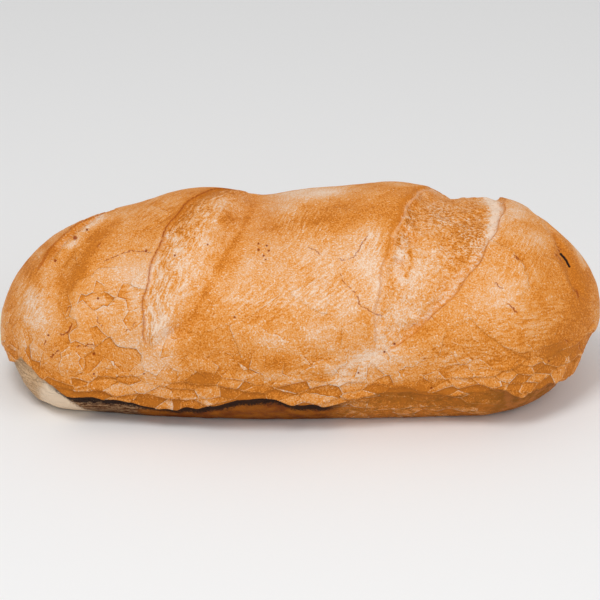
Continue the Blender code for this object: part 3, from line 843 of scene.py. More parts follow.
# ---- tone of the crust
# Soft areas of the crust seen in the picture, as (strength, x, y, reach across, reach
# down) and a slope where they lean: positive is paler and floury, negative is browner.
# Some browner areas are painted shade, such as the darker right end and the lower edge.
TONE_AREAS = (
    (-0.3, 60, 282, 8, 10), (-0.35, 120, 335, 14, 8), (0.44, 97, 302, 10, 10),
    (0.42, 134, 300, 8, 14), (-0.5, 225, 218, 10, 10), (0.42, 370, 270, 14, 20),
    (0.39, 317, 332, 18, 12), (0.3, 415, 317, 10, 10), (-0.3, 455, 240, 16, 10),
    (0.36, 515, 212, 16, 10), (0.32, 247, 265, 10, 10), (0.34, 175, 250, 12, 16),
    (-0.34, 320, 375, 14, 8), (-0.31, 272, 227, 12, 8), (-0.36, 185, 362, 12, 6),
    (-0.28, 345, 342, 7, 12), (-0.3, 522, 342, 8, 8), (-0.29, 372, 322, 8, 8),
    (0.14, 190, 292, 10, 16, 0.4), (0.2, 158, 285, 10, 18), (0.02, 212, 262, 10, 16, 0.4),
    (0.14, 240, 290, 16, 18), (0.04, 210, 330, 18, 14), (-0.01, 250, 215, 12, 12),
    (0.1, 420, 250, 16, 20), (0.2, 535, 275, 14, 16), (0.31, 100, 215, 14, 10),
    (-0.07, 150, 215, 20, 12), (0.57, 36, 305, 16, 34), (0.28, 68, 244, 16, 8, -0.6),
    (-0.48, 30, 272, 10, 26, -0.4), (0.54, 130, 272, 26, 18), (0.3, 118, 338, 22, 12),
    (-0.15, 85, 322, 24, 16), (0.22, 165, 362, 26, 18), (0.34, 155, 318, 14, 22),
    (0.2, 172, 338, 14, 14), (-0.63, 200, 378, 22, 10), (-0.19, 72, 388, 20, 8, 0.3),
    (-0.01, 118, 372, 24, 8), (0.21, 268, 262, 20, 26), (0.14, 285, 208, 10, 9),
    (0.54, 318, 192, 34, 6), (-0.35, 322, 220, 24, 12), (-0.11, 372, 208, 24, 16),
    (0.38, 372, 236, 20, 16), (0.4, 330, 262, 40, 22), (0.36, 300, 300, 50, 18),
    (0.34, 276, 336, 22, 12), (-0.41, 270, 364, 26, 8), (-0.22, 272, 388, 26, 8),
    (0.21, 348, 312, 14, 18, 0.5), (0.09, 338, 350, 16, 14), (0.36, 350, 376, 26, 9, 0.3),
    (0.4, 378, 356, 22, 9, 0.2), (0.3, 354, 363, 13, 15, 1.7), (0.44, 396, 318, 12, 18),
    (0.5, 412, 282, 12, 18), (-0.31, 425, 330, 14, 10), (-0.13, 474, 226, 16, 26),
    (-0.08, 440, 205, 20, 12), (0.16, 440, 262, 16, 22), (0.31, 535, 240, 18, 10, -0.5),
    (-0.04, 502, 250, 18, 10), (0.23, 505, 292, 26, 16), (-0.36, 570, 262, 10, 34, -0.3),
    (-0.32, 576, 310, 14, 34, 0.3), (-0.1, 548, 300, 16, 30), (-0.31, 515, 375, 24, 12),
    (0.14, 465, 372, 34, 14), (-0.05, 470, 335, 40, 18), (-0.47, 560, 350, 20, 20),
    (-0.3, 420, 395, 40, 10), (-0.18, 309, 295, 10, 8), (-0.1, 326, 248, 10, 8),
    (-0.18, 230, 390, 12, 10), (-0.24, 7, 300, 8, 28), (-0.24, 44, 246, 10, 9, -0.6),
    (-0.12, 148, 276, 8, 8), (-0.18, 242, 332, 10, 8), (-0.14, 322, 394, 16, 8),
    (-0.12, 352, 397, 14, 8), (-0.16, 263, 248, 10, 8), (-0.14, 412, 215, 9, 16),
    (-0.15, 430, 376, 14, 8), (-0.14, 70, 369, 10, 8), (-0.12, 214, 231, 9, 8),
    (-0.14, 562, 374, 12, 8), (-0.12, 580, 346, 10, 12), (0.16, 145, 245, 8, 8),
)

# Long soft marks in the picture, as (half width, strength, points). Several are painted
# shade in the valleys and creases beside the cuts and in the groove at the left end; one
# pair paints a blister's shaded right side and its paler lit left side.
TONE_STROKES = (
    (2, -0.26, ((110, 217), (100, 226), (87, 241), (72, 253), (64, 266))),
    (3, -0.17, ((252, 205), (238, 237), (226, 253), (213, 278), (203, 297), (190, 318), (178, 333))),
    (2, -0.41, ((409, 250), (412, 262), (406, 276))),
    (5, 0.34, ((399, 252), (396, 268), (399, 280))),
    (2, -0.01, ((391, 270), (388, 290), (390, 306))),
    (2, -0.37, ((553, 234), (563, 252), (570, 265))),
    (3, 0.45, ((560, 226), (574, 244), (584, 266))),
    (2, 0.1, ((76, 228), (64, 240), (54, 254))),
    (3, 0.38, ((100, 216), (84, 228), (70, 246))),
    (2, -0.34, ((437, 257), (447, 268), (454, 270))),
    (6, -0.42, ((116, 220), (98, 236), (86, 254), (78, 270))),
    (7, -0.24, ((78, 270), (70, 286), (64, 302))),
    (4, -0.31, ((110, 211), (79, 225), (58, 242), (42, 262))),
    (9, -0.14, ((258, 198), (246, 226), (234, 246), (222, 266))),
    (7, -0.08, ((222, 266), (212, 284), (198, 310), (184, 334))),
    (12, 0.28, ((222, 208), (206, 238), (190, 268), (174, 300), (160, 326))),
    (7, -0.26, ((236, 188), (208, 192), (188, 203), (172, 222))),
    (5, 0.21, ((170, 222), (158, 250), (151, 275))),
    (8, -0.14, ((424, 184), (404, 200), (394, 224), (386, 250))),
    (6, 0.7, ((488, 198), (495, 207), (494, 222), (490, 234))),
    (5, 0.22, ((482, 250), (462, 276), (440, 302), (420, 326))),
    (5, -0.04, ((500, 238), (480, 266), (458, 292), (434, 320))),
    (7, 0.09, ((146, 290), (150, 318), (166, 340))),
    (6, 0.33, ((378, 282), (374, 310), (380, 338))),
)

# Tone of what the picture doesn't show: soft patches, pale bands, and low crust painted browner as
# shade
PATCH_TONE = 0.16
PATCH_SIZE = 34.0
BAND_TONE = 0.14
BAND_TONE_FADE = 6.0
LOW_SHADE = 0.12
LOW_SHADE_HEIGHTS = (30.0, 8.0)


def seen_tone(seen):
    """Tone of the front as the picture shows it, with some painted light and shade."""
    tone = sum(strength * soft_area(seen, *area) for strength, *area in TONE_AREAS)
    return tone + sum(strength * hill(line_distance(points, seen), half)
                      for half, strength, points in TONE_STROKES)


def hidden_tone(points, x, bearing):
    """Tone of what the picture doesn't show: torn bands pale, crust by soft patches, and darker low
    down as painted shade.
    """
    tone = PATCH_TONE * lattice_noise(points, PATCH_SIZE, SEED + 11)
    for cut in (CUT_FAR_LEFT, CUT_LEFT, CUT_RIGHT):
        tone += BAND_TONE * band_share(cut, x, bearing, BAND_TONE_FADE)
    return tone - LOW_SHADE * ramp(*LOW_SHADE_HEIGHTS, points[:, 2])


# ---- the crust mesh
# Where the plates change kind: heights for strata, higher at the right, and for the
# crackle above them, and stations and heights for the crackle at the left
ZONE_WAVE = 5.0
ZONE_WAVE_SIZE = 17.0
STRATA_HEIGHTS = (35.0, 25.0)
STRATA_LIFT = 8.0
STRATA_LIFT_STATIONS = (55.0, 95.0)
CRACKLE_HEIGHTS = (54.0, 34.0)
LEFT_CRACKLE_STATIONS = (-50.0, -70.0)
LEFT_CRACKLE_HEIGHTS = (84.0, 66.0)
LEFT_CRACKLE_TIP = (-124.0, -108.0)

# Height of the step from plate to plate, and how wide it is, by kind
PLATE_STEPS = {"sheet": (0.35, 1.2), "crackle": (0.6, 0.9), "strata": (0.9, 0.9)}
CRACKLE_LEAST = 0.12
STRATA_TILT = 0.4

# Pebbles, clumps and the ridge inside the right band, and the rough band at the base
PEBBLE_SIZE = 3.2
PEBBLE_HEIGHT = 0.22
PEBBLE_LEAST = 0.4
CLUMP_SIZE = 2.6
CLUMP_HEIGHT = 2.0
RIDGE_PLACE = 2.6
RIDGE_SPREAD = 1.3
RIDGE_HEIGHT = 0.55
RIDGE_BEARINGS = (30.0, 60.0)
BAND_ROUGH = 0.5
BAND_ROUGH_SIZE = 3.4
BAND_GRAIN = np.array((0.6, 0.6, 1.0))
LIP_ROWS = 9
# Painted shade: how much the tone darkens towards the lip, and over which heights above it
LIP_SHADE = 0.22
LIP_SHADE_HEIGHTS = (10.0, 1.0)
FACING_FADE = 0.12

# Soft areas of the picture, as (x, y, reach across, reach down): where the right band
# is clotted or grainy and the crust is smooth
CLUMPS = ((408, 218, 9, 13), (403, 240, 7, 10), (399, 256, 5, 8))
GRAINY = ((470, 235, 22, 30), (440, 215, 16, 14))
SMOOTH = ((128, 268, 22, 14), (150, 205, 40, 14), (80, 300, 30, 30), (535, 300, 34, 40))
# Where the crust shows fine stretch lines that rise to the right, lie level, or stand steep
RISING = ((255, 306, 52, 26), (325, 284, 44, 38), (400, 315, 14, 22), (160, 215, 30, 20))
LEVEL = ((535, 322, 60, 34), (465, 358, 90, 24), (330, 368, 70, 20), (110, 300, 40, 20))
STEEP = ((372, 246, 22, 26), (520, 260, 26, 40), (300, 225, 40, 20), (30, 300, 20, 40))


def plate_zones(skin):
    """Shares of strata along the lower edge and of crackle above them and at the left."""
    wave = ZONE_WAVE * lattice_noise(skin, ZONE_WAVE_SIZE, SEED + 21)
    height = skin[:, 2] + wave
    station = skin[:, 0] + wave
    lift = STRATA_LIFT * ramp(*STRATA_LIFT_STATIONS, skin[:, 0])
    strata = ramp(*STRATA_HEIGHTS, height - lift)
    left = ramp(*LEFT_CRACKLE_STATIONS, station) * ramp(*LEFT_CRACKLE_HEIGHTS, height)
    left *= ramp(*LEFT_CRACKLE_TIP, station)
    return strata, np.maximum(ramp(*CRACKLE_HEIGHTS, height), left) * (1.0 - strata)


def plate_relief(cells, kind):
    """Steps from plate to plate, where neighbours on one level join into one plate."""
    own, other = (sum(0.5 * ramp(*rise, cells[kind + fact]) for rise in PLATE_LEVELS)
                  for fact in ("_own", "_other"))
    step, soft = PLATE_STEPS[kind]
    share = 0.5 + 0.5 * ramp(0.0, soft, cells[kind + "_border"])
    return step * (other + (own - other) * share - 0.5)


def crust_relief(skin, x, bearing, cells, zones, seen):
    """All relief above the bare loaf, in millimetres."""
    right_band = band_share(CUT_RIGHT, x, bearing)
    crust = 1.0 - np.maximum(right_band, band_share(CUT_LEFT, x, bearing))
    strata, crackle = zones
    crackle = CRACKLE_LEAST + (1.0 - CRACKLE_LEAST) * crackle
    pebbles = PEBBLE_LEAST + (1.0 - PEBBLE_LEAST) * right_band
    clumps = seen_share(seen, CLUMPS) * right_band
    relief = cuts_relief(x, bearing) + blister_relief(x, bearing)
    relief += crackle * crust * plate_relief(cells, "crackle")
    relief += strata * (plate_relief(cells, "strata") + STRATA_TILT * cells["strata_below"])
    relief += (1.0 - strata) * crust * plate_relief(cells, "sheet")
    for height, size, share, seed in ((LUMP_HEIGHT, LUMP_SIZE, 1.0, 1),
                                      (BLISTER_HEIGHT, BLISTER_SIZE, right_band, 2),
                                      (PEBBLE_HEIGHT, PEBBLE_SIZE, pebbles, 5),
                                      (CLUMP_HEIGHT, CLUMP_SIZE, clumps, 6)):
        relief += height * lattice_noise(skin, size, SEED + seed) * share
    inside_left, _, _, strength = cut_parts(CUT_RIGHT, x, bearing)
    ridge = hill(inside_left - RIDGE_PLACE, RIDGE_SPREAD) * ramp(*RIDGE_BEARINGS, bearing)
    return relief + RIDGE_HEIGHT * ridge * strength


def loaf_points():
    """Finished points of the crust and what its material reads at each of them."""
    directions, numbers, faces = loaf_net()
    x, bearing = station_and_bearing(directions)
    skin = bare_loaf(directions)
    normal = outward(directions)
    front = ramp(0.0, FACING_FADE, normal @ TO_CAMERA)
    above = numbers > BAND_ROWS
    zones = plate_zones(skin)
    relief = crust_relief(skin, x, bearing, sample_cells(skin), zones, picture_place(skin))
    points = skin + normal * (relief * above)[:, None]
    seen = picture_place(points)
    crack_offset, crack_strength, crack_depth = crack_field(seen, front)
    pores, slit = carved_depth(seen)
    carved = crack_depth + (pores + slit) * front
    points = points - normal * (carved * above)[:, None]
    lip = LIP_OVERHANG * ramp(BAND_ROWS + LIP_ROWS, BAND_ROWS + 1, numbers) * recess_share(x)
    rough = BAND_ROUGH * lattice_noise(skin * BAND_GRAIN, BAND_ROUGH_SIZE, SEED + 7)
    outset = np.where(above, lip, rough - BAND_RECESS * recess_share(x))
    points = points + flat_outward(normal) * outset[:, None]
    points[:, 2] = np.where(numbers == 0, 0.0, np.maximum(points[:, 2], 0.0))
    tone = seen_tone(seen) * front + hidden_tone(skin, x, bearing) * (1.0 - front)
    # Painted shade: the crust darkens just above the lip
    tone -= LIP_SHADE * ramp(*LIP_SHADE_HEIGHTS, skin[:, 2] - lip_height(skin))
    gap = np.where(above, 0.0, lip_height(skin) - points[:, 2])
    read = {
        "skin": skin.T,
        "zones": (tone, *zones),
        "spots": (1.0 - above, bearing, gap),
        "marks": (crack_offset, crack_strength, front),
        "seen": (*seen.T, np.zeros(len(x))),
        "flows": [seen_share(seen, areas) * front for areas in (RISING, LEVEL, STEEP)],
        "rough": [seen_share(seen, areas) * front for areas in (CLUMPS, GRAINY, SMOOTH)],
    }
    for name, cut in (("left_cut", CUT_LEFT), ("right_cut", CUT_RIGHT), ("end_cut", CUT_FAR_LEFT)):
        inside_left, inside_right, _, strength = cut_parts(cut, x, bearing)
        read[name] = (inside_left, inside_right, strength)
    return points, faces, read


def fitted(points):
    """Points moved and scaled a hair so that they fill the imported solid's box."""
    low, high = (np.array(corner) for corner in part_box("loaf"))
    own_low, own_high = points.min(axis=0), points.max(axis=0)
    return low + (points - own_low) * (high - low) / (own_high - own_low)


def make_crust():
    """The crust as one smooth-shaded mesh with a flat base."""
    points, faces, read = loaf_points()
    mesh = bpy.data.meshes.new("crust")
    mesh.from_pydata(fitted(points).tolist(), [], faces)
    mesh.polygons.foreach_set("use_smooth", [len(face) == 4 for face in faces])
    for name, values in read.items():
        layer = mesh.attributes.new(name, "FLOAT_VECTOR", "POINT")
        layer.data.foreach_set("vector", np.stack(values, -1).astype(np.float32).ravel())
    mesh.update()
    mesh.materials.append(crust_material())
    return add_object("crust", mesh)


# ---- materials
def paint(red, green, blue):
    """A colour given as screen values 0..255, as linear light."""
    return tuple(((part / 255.0 + 0.055) / 1.055) ** 2.4 for part in (red, green, blue)) + (1.0,)


CRACKED = paint(150, 62, 4)
SCORCH_AND_SHADE = paint(164, 80, 14)
TOASTED = paint(187, 106, 22)
ORANGE = paint(209, 123, 32)
AMBER = paint(219, 138, 54)
GOLD = paint(224, 153, 80)
PALE_GOLD = paint(227, 168, 112)
BISQUE = paint(229, 181, 142)
FLOURED = paint(229, 195, 164)
WHITENED = paint(238, 210, 186)
OLIVE = paint(160, 98, 30)
UNDER_BROWN = paint(162, 92, 14)
UNDER_DARK = paint(124, 60, 3)
FLOUR = paint(238, 214, 186)
SHADE_BLACK = paint(34, 15, 6)
TIP_TAN = paint(178, 142, 104)
FLOUR_TAN = paint(214, 178, 138)
LAYER_DARK = paint(92, 50, 20)
LAYER_ASH = paint(164, 128, 92)
STRATA_DARK = paint(146, 88, 14)
RECESS_BROWN = paint(176, 106, 44)

# Colours of the crust from toasted to floury, and the tone at the last of them
TONES = ((0.0, TOASTED), (0.112, ORANGE), (0.272, AMBER), (0.4, GOLD), (0.544, PALE_GOLD),
         (0.68, BISQUE), (0.8, FLOURED), (1.0, WHITENED))
TONE_REACH = 1.25
TONE_LEVEL = 0.41
TONE_GAIN = 1.15

# What each pattern adds to the tone and to the fine relief, which is in millimetres
AMOUNTS = {
    "grain": (0.44, 0.08),
    "grainy": (0.16, 0.0),
    "smooth": (-0.2, 0.0),
    "speck": (0.5, 0.0),
    "fleck": (0.35, 0.0),
    "blotch": (0.35, 0.2),
    "mottle": (0.5, 0.4),
    "cloud": (0.7, 0.0),
    "left_fibre": (0.7, 0.16),
    "right_fibre": (0.24, 0.1),
    "pits": (-0.5, -0.15),
    "crumbs": (0.95, 0.22),
    "clots": (0.5, 0.25),
    "lines": (0.5, 0.1),
    "cracks": (0.0, -0.15),
    "pores": (0.0, -0.3),
}

# How far the darkest tone varies with the grain, and that tone; where dark crust is painted
# olive, how that varies with the grain, and its share in the strata and everywhere. In the
# strata along the lower edge this olive is painted shade; elsewhere it is a slight olive cast.
DARKEST = (0.22, 0.05)
OLIVE_SHADE = (0.3, -0.1)
OLIVE_SHADE_GRAIN = (0.8, 0.6)
OLIVE_SHADE_SHARES = (0.4, 0.1)
ROUGHNESS = 0.66
ROUGH_GRAIN = 0.12
SPECULAR = 0.16

# Plates by kind: how much the tone differs between them, how far they overlap like
# shingles, how dark their painted shadow lines are, and how much of the border is broken open
PLATE_LOOKS = {
    "crackle": (0.26, 0.0, 0.25, (0.42, 0.54)),
    "strata": (0.3, 0.8, 0.45, (0.28, 0.4)),
    "sheet": (0.18, 0.0, 0.3, (0.54, 0.62)),
}
SHEET_SHARE = 0.6
# Reach of each mark from the border in millimetres, and its tone and relief
# Rims are pale crumb with a painted highlight; the line and shade are painted shadow below them
RIM = (0.45, 0.1)
RIM_TONE = 0.5
RIM_RELIEF = 0.12
SHADOW_LINE = (0.35, 0.05)
LINE_RELIEF = 0.1
SHADE = (1.5, 0.0)
SHADE_TONE = 0.2
SHADE_LEAST = 0.3
STEP = (0.0, 0.3)
STEP_RELIEF = 0.5
TILT_RELIEF = 0.35
OWN_TONE = 0.4
OVERLAP = (0.1, 0.6)

# Torn bands: how far in from the left and the right edge each is full, and the strength
# of the cut over which it opens
BANDS = {
    "left_cut": ((0.0, 2.0), (-4.0, 6.0), (0.1, 0.6)),
    "right_cut": ((0.0, 3.0), (0.0, 1.2), (0.1, 0.6)),
    "end_cut": ((0.0, 1.0), (0.0, 0.8), (0.1, 0.5)),
}
# Streaks along a band: how often they come across it and along it, per degree
FIBRES = {"left_fibre": (30.0, 0.26), "right_fibre": (34.0, 0.5)}
DASHES = (0.75, 0.3)
DASHES_LEAST = 0.4
PITS_ACROSS = (0.7, 0.2)
PITS_BEARINGS = (40.0, 75.0)
# Share of crumbs and clots in the right band: grainy areas, clotted areas, all of it
CRUMB_SHARES = (0.7, 0.5, 0.3)
CLOT_SHARES = (0.0, 1.3, 0.25)

# Stretch lines: angle on the front for each flow, length over width, and the share of
# height and depth that make up what is seen as up
LINE_ANGLES = (36.0, 6.0, 62.0)
LINE_LENGTH = 0.2
SEEN_UP = (0.9, 0.44)

# Marks along the lips and creases of the cuts, as (cut, side, distance in from it, waver
# of the line, reach, strength of the cut, bearings and share below them, uneven breaks,
# share, colour). The dark marks are burnt edges together with painted shade in the lips
# and creases; the pale mark runs along the ridge.
EDGES = (
    ("left", "left", 0.0, 1.2, (1.3, 0.2), (0.2, 0.75), (25.0, 70.0, 0.6), None, 0.7, TOASTED),
    ("left", "left", 0.0, 1.2, (0.4, 0.1), (0.2, 0.75), (25.0, 70.0, 0.6), (0.3, 0.5), 1.0,
     SCORCH_AND_SHADE),
    ("right", "left", 0.0, 1.6, (1.1, 0.1), (0.2, 0.7), (25.0, 60.0, 0.4), None, 0.6, ORANGE),
    ("right", "left", RIDGE_PLACE, 0.0, (1.1, 0.2), (0.3, 0.8), (45.0, 75.0, 0.0), None, 0.45,
     BISQUE),
    ("right", "right", 0.0, 1.6, (1.3, 0.1), (0.1, 0.5), None, None, 0.65, ORANGE),
    ("right", "right", 0.0, 1.6, (0.35, 0.1), (0.1, 0.5), None, (0.46, 0.6), 0.6, SCORCH_AND_SHADE),
    ("end", "left", 0.0, 0.0, (0.9, 0.15), (0.1, 0.5), None, None, 0.6, SCORCH_AND_SHADE),
)

# Cracks: waver of the line and its reach in half widths, share per strength and the
# most; the pale peeled edge beside it; then the halo of the slit, its core painted black as
# shade, and the pores
CRACK_WAVER = 9.0
CRACK_REACH = (1.1, 0.3)
CRACK_GAIN = 1.4
CRACK_MOST = 0.95
PEELED_PLACE = 1.9
PEELED_REACH = (1.0, 0.2)
PEELED_BREAKS = (0.4, 0.6)
PEELED_STRENGTH = (0.0, 0.5)
PEELED_SHARE = 0.3
SLIT_HALO = (3.0, 1.4)
SLIT_HALO_SHARE = 0.7
SLIT_CORE = (1.5, 0.8)
PORE_REACH = (1.1, 0.5)
PORE_SHARE = 0.9

# Stations between which the band below the lip turns from floury to layered, from
# layered to smooth and brown, to orange strata, and to the dark recess at the right
FLOURY_END = (-118.0, -123.0)
FLOUR_START = (-131.0, -124.0)
LAYERED_END = (-70.0, -82.0)
STRATA_START = (10.0, 26.0)
RECESS_START = (88.0, 104.0)
# Its patterns: how far the stations waver, layers, and shares of the dark strata
PLACE_WAVER = 14.0
BASE_TONES = (0.35, 0.65)
LAYER_STRETCH = (0.25, 0.25, 1.0)
LAYER_FINE = 0.4
LAYER_TONES = (0.42, 0.6)
STRATA_LUMPS = (0.56, 0.4)
STRATA_LAYERS = (0.5, 0.62)
STRATA_SHARES = (0.4, 0.4, 0.12)
RECESS_LUMPS = (0.36, 0.62)
# Flour at the left tip: wavers, heights below the lip, depths from front to back, slant
FLOUR_WAVERS = (3.0, 8.0)
FLOUR_GAPS = (2.0, 5.0)
FLOUR_DEPTHS = (14.0, -14.0)
FLOUR_DEPTH_WAVER = 30.0
FLOUR_SLANT = 1.2
FLOUR_EDGE_WAVER = 12.0
# The painted shadow line under the lip: height below it, waver, and where it is deep
SHADOW_GAPS = (7.0, 4.5)
SHADOW_WAVER = 6.0
SHADOW_STATIONS = ((-124.0, -116.0), (26.0, 10.0))
SHADOW_SHARES = (0.85, 0.1)


def read_vector(bench, name):
    """A vector kept on the mesh."""
    return bench.out("ShaderNodeAttribute", "Vector",
                     {"attribute_type": "GEOMETRY", "attribute_name": name})


class Band:
    """One cut's torn band: distances in from its left and right edge, strength of the
    cut, where it is torn, and 0 at the left lip to 1 at the right edge."""

    def __init__(self, bench, name):
        self.left, self.right, self.on = bench.parts(read_vector(bench, name))
        near_left, near_right, opening = BANDS[name]
        self.torn = self.left.rise(*near_left) * self.right.rise(*near_right)
        self.torn = self.torn * self.on.rise(*opening)
        inside = self.left.most(0.0)
        self.share = inside / (inside + self.right.most(0.0)).most(1.0)


def fibres(bench, name, band, bearing):
    """Streaks that run along a torn band, as -0.5..0.5."""
    across, along = FIBRES[name]
    flow = bench.out("ShaderNodeCombineXYZ", 0, None,
                     {"X": band.share * across, "Y": bearing * along})
    return (bench.pattern(name, flow) - 0.5) * band.torn


def stretch_lines(bench, across, lift, angle):
    """Fine wrinkles that run at an angle across the front, as -0.5..0.5."""
    cosine, sine = math.cos(math.radians(angle)), math.sin(math.radians(angle))
    along = across * cosine + lift * sine
    side = lift * cosine - across * sine
    place = bench.out("ShaderNodeCombineXYZ", 0, None,
                      {"X": along * LINE_LENGTH, "Y": side, "Z": angle})
    return bench.pattern("lines", place) - 0.5


def pore_share(bench, seen):
    """Distance to the nearest pore as a share of its radius."""
    nearest = FAR_OFF
    for x, y, radius in PORES:
        away = bench.vector("DISTANCE", seen, (x, y, 0.0), output="Value")
        nearest = (away / radius).least(nearest)
    return nearest


def slit_distance(bench, seen):
    """Distance to the open slit in pixels."""
    nearest = FAR_OFF
    for start, stop in zip(SLIT[:-1], SLIT[1:]):
        span = (stop[0] - start[0], stop[1] - start[1], 0.0)
        offset = bench.vector("SUBTRACT", seen, (*start, 0.0))
        along = bench.vector("DOT_PRODUCT", offset, span, output="Value")
        along = (along / (span[0] ** 2 + span[1] ** 2)).most(0.0).least(1.0)
        foot = bench.vector("MULTIPLY", along, span)
        nearest = bench.vector("DISTANCE", offset, foot, output="Value").least(nearest)
    return nearest


def plate_paint(bench, skin, kind, zone, broken):
    """Tone and relief of one kind of plates: paler raised rims of pale crumb with a painted
    highlight, and painted shadow lines and shade under them.
    """
    border, own, other, below = crust_cells(bench, skin, kind)
    contrast, tilt, dark, breaks = PLATE_LOOKS[kind]
    level, beyond = (sum(value.rise(*rise) * 0.5 for rise in PLATE_LEVELS)
                     for value in (own, other))
    broken = broken.rise(*breaks)
    over = level - beyond + below * tilt
    raised = over.rise(*OVERLAP)
    lowered = (over * -1.0).rise(*OVERLAP)
    rim = border.rise(*RIM) * raised * broken
    line = border.rise(*SHADOW_LINE) * lowered * broken
    shade = border.rise(*SHADE) * lowered * (broken * (1.0 - SHADE_LEAST) + SHADE_LEAST)
    tone = (level - 0.5) * contrast + (own - 0.5) * (contrast * OWN_TONE)
    # Painted highlight on the rims, painted shadow in the lines and the shade
    tone = tone + rim * RIM_TONE - line * dark - shade * SHADE_TONE
    step = beyond + (level - beyond) * (border.rise(*STEP) * 0.5 + 0.5)
    relief = (step - 0.5) * STEP_RELIEF + below * (tilt * TILT_RELIEF)
    relief = relief + rim * RIM_RELIEF - line * LINE_RELIEF
    return tone * zone, relief * zone


def crust_patterns(bench, skin, bearing, cuts):
    """The patterns of AMOUNTS on the skin and the torn bands, around 0."""
    flows = bench.parts(read_vector(bench, "flows"))
    clumps, grainy, smooth = bench.parts(read_vector(bench, "rough"))
    across, depth, up = bench.parts(skin)
    left, right = cuts["left"], cuts["right"]
    crust = 1.0 - left.torn.most(right.torn).most(cuts["end"].torn)
    patterns = {name: bench.pattern(name, skin) - 0.5
                for name in ("grain", "speck", "blotch", "mottle", "cloud", "crumbs", "clots")}
    patterns["grainy"] = patterns["grain"] * grainy
    patterns["smooth"] = patterns["grain"] * smooth
    patterns["fleck"] = bench.pattern("fleck", skin)
    dashes = left.share.rise(*DASHES) * (1.0 - DASHES_LEAST) + DASHES_LEAST
    patterns["left_fibre"] = fibres(bench, "left_fibre", left, bearing) * dashes
    patterns["right_fibre"] = fibres(bench, "right_fibre", right, bearing)
    pitted = left.torn * left.share.rise(*PITS_ACROSS) * bearing.rise(*PITS_BEARINGS)
    patterns["pits"] = bench.pattern("pits", skin) * pitted
    for name, shares in (("crumbs", CRUMB_SHARES), ("clots", CLOT_SHARES)):
        amount = grainy * shares[0] + clumps * shares[1] + shares[2]
        patterns[name] = patterns[name] * right.torn * amount
    lift = up * SEEN_UP[0] + depth * SEEN_UP[1]
    patterns["lines"] = crust * sum(stretch_lines(bench, across, lift, angle) * flow
                                    for angle, flow in zip(LINE_ANGLES, flows))
    return patterns, crust


def edge_layers(cuts, bearing, uneven):
    """Marks along the lips and creases of the cuts, as (share, colour) layers: burnt edges and
    painted shade.
    """
    layers = []
    for cut, side, place, waver, reach, strength, bearings, breaks, share, over in EDGES:
        band = cuts[cut]
        edge = band.left if side == "left" else band.right
        mark = (edge - place + (uneven - 0.5) * waver).size().rise(*reach)
        mark = mark * band.on.rise(*strength) * share
        if bearings:
            low, high, least = bearings
            mark = mark * (bearing.rise(low, high) * (1.0 - least) + least)
        if breaks:
            mark = mark * uneven.rise(*breaks)
        layers.append((mark, over))
    return layers


def weighed(patterns, column):
    """Sum of the patterns, each by its amount in one column of AMOUNTS."""
    return sum(patterns[name] * amounts[column] for name, amounts in AMOUNTS.items()
               if amounts[column])


def crust_material():
    """Golden crust: toasted skin, pale torn bands, plates, cracks, pores and dark base."""
    material = bpy.data.materials.new("crust")
    material.use_nodes = True
    material.node_tree.nodes.clear()
    bench = Bench(material.node_tree)
    skin = read_vector(bench, "skin")
    seen = read_vector(bench, "seen")
    tone, strata, crackle = bench.parts(read_vector(bench, "zones"))
    under, bearing, gap = bench.parts(read_vector(bench, "spots"))
    crack_offset, crack_on, front = bench.parts(read_vector(bench, "marks"))
    cuts = {name: Band(bench, name + "_cut") for name in ("left", "right", "end")}
    patterns, crust = crust_patterns(bench, skin, bearing, cuts)
    grain = patterns["grain"]
    uneven = bench.pattern("uneven", skin)

    wander = crack_offset + (bench.pattern("wander", skin) - 0.5) * CRACK_WAVER
    crack = wander.size().rise(*CRACK_REACH) * bench.pattern("gaps", skin)
    peeled = (wander - PEELED_PLACE).size().rise(*PEELED_REACH)
    peeled = peeled * crack_on.rise(*PEELED_STRENGTH) * uneven.rise(*PEELED_BREAKS)
    slit = slit_distance(bench, seen)
    pore = pore_share(bench, seen).rise(*PORE_REACH) * front

    value = TONE_LEVEL + tone * TONE_GAIN + weighed(patterns, 0)
    patterns["cracks"] = crack * crack_on
    patterns["pores"] = pore
    height = weighed(patterns, 1)
    broken = bench.pattern("broken", skin)
    for kind, zone in (("crackle", crackle * crust), ("strata", strata),
                       ("sheet", crust * (1.0 - strata) * SHEET_SHARE)):
        plate_tone, plate_height = plate_paint(bench, skin, kind, zone, broken)
        value = value + plate_tone
        height = height + plate_height

    # Olive on dark crust: painted shade in the strata along the lower edge, a slight cast elsewhere
    olive_shade = value.rise(*OLIVE_SHADE) * (grain * OLIVE_SHADE_GRAIN[0] + OLIVE_SHADE_GRAIN[1])
    value = value.most(grain * DARKEST[0] + DARKEST[1])
    colour = bench.out("ShaderNodeValToRGB", 0, {"stops": TONES}, {"Fac": value / TONE_REACH})
    colour = bench.paint_over(colour, [
        (olive_shade * (strata * OLIVE_SHADE_SHARES[0] + OLIVE_SHADE_SHARES[1]), OLIVE),
        *edge_layers(cuts, bearing, uneven),
        (crack * (crack_on * CRACK_GAIN).least(CRACK_MOST), CRACKED),
        (peeled * PEELED_SHARE, BISQUE),
        (slit.rise(*SLIT_HALO) * front * SLIT_HALO_SHARE, ORANGE),
        # The slit's core is painted black as the shade inside it
        (slit.rise(*SLIT_CORE) * front, SHADE_BLACK),
        (pore * PORE_SHARE, CRACKED),
    ])
    colour = bench.blend(under, colour, base_paint(bench, skin, gap, colour))
    bump = bench.out("ShaderNodeBump", 0, None,
                     {"Strength": 1.0, "Distance": MM, "Height": height})
    surface = bench.out("ShaderNodeBsdfPrincipled", 0, None,
                        {"Base Color": colour, "Normal": bump, "Specular IOR Level": SPECULAR,
                         "Roughness": ROUGHNESS + grain * ROUGH_GRAIN})
    bench.add("ShaderNodeOutputMaterial", None, {"Surface": surface})
    return material


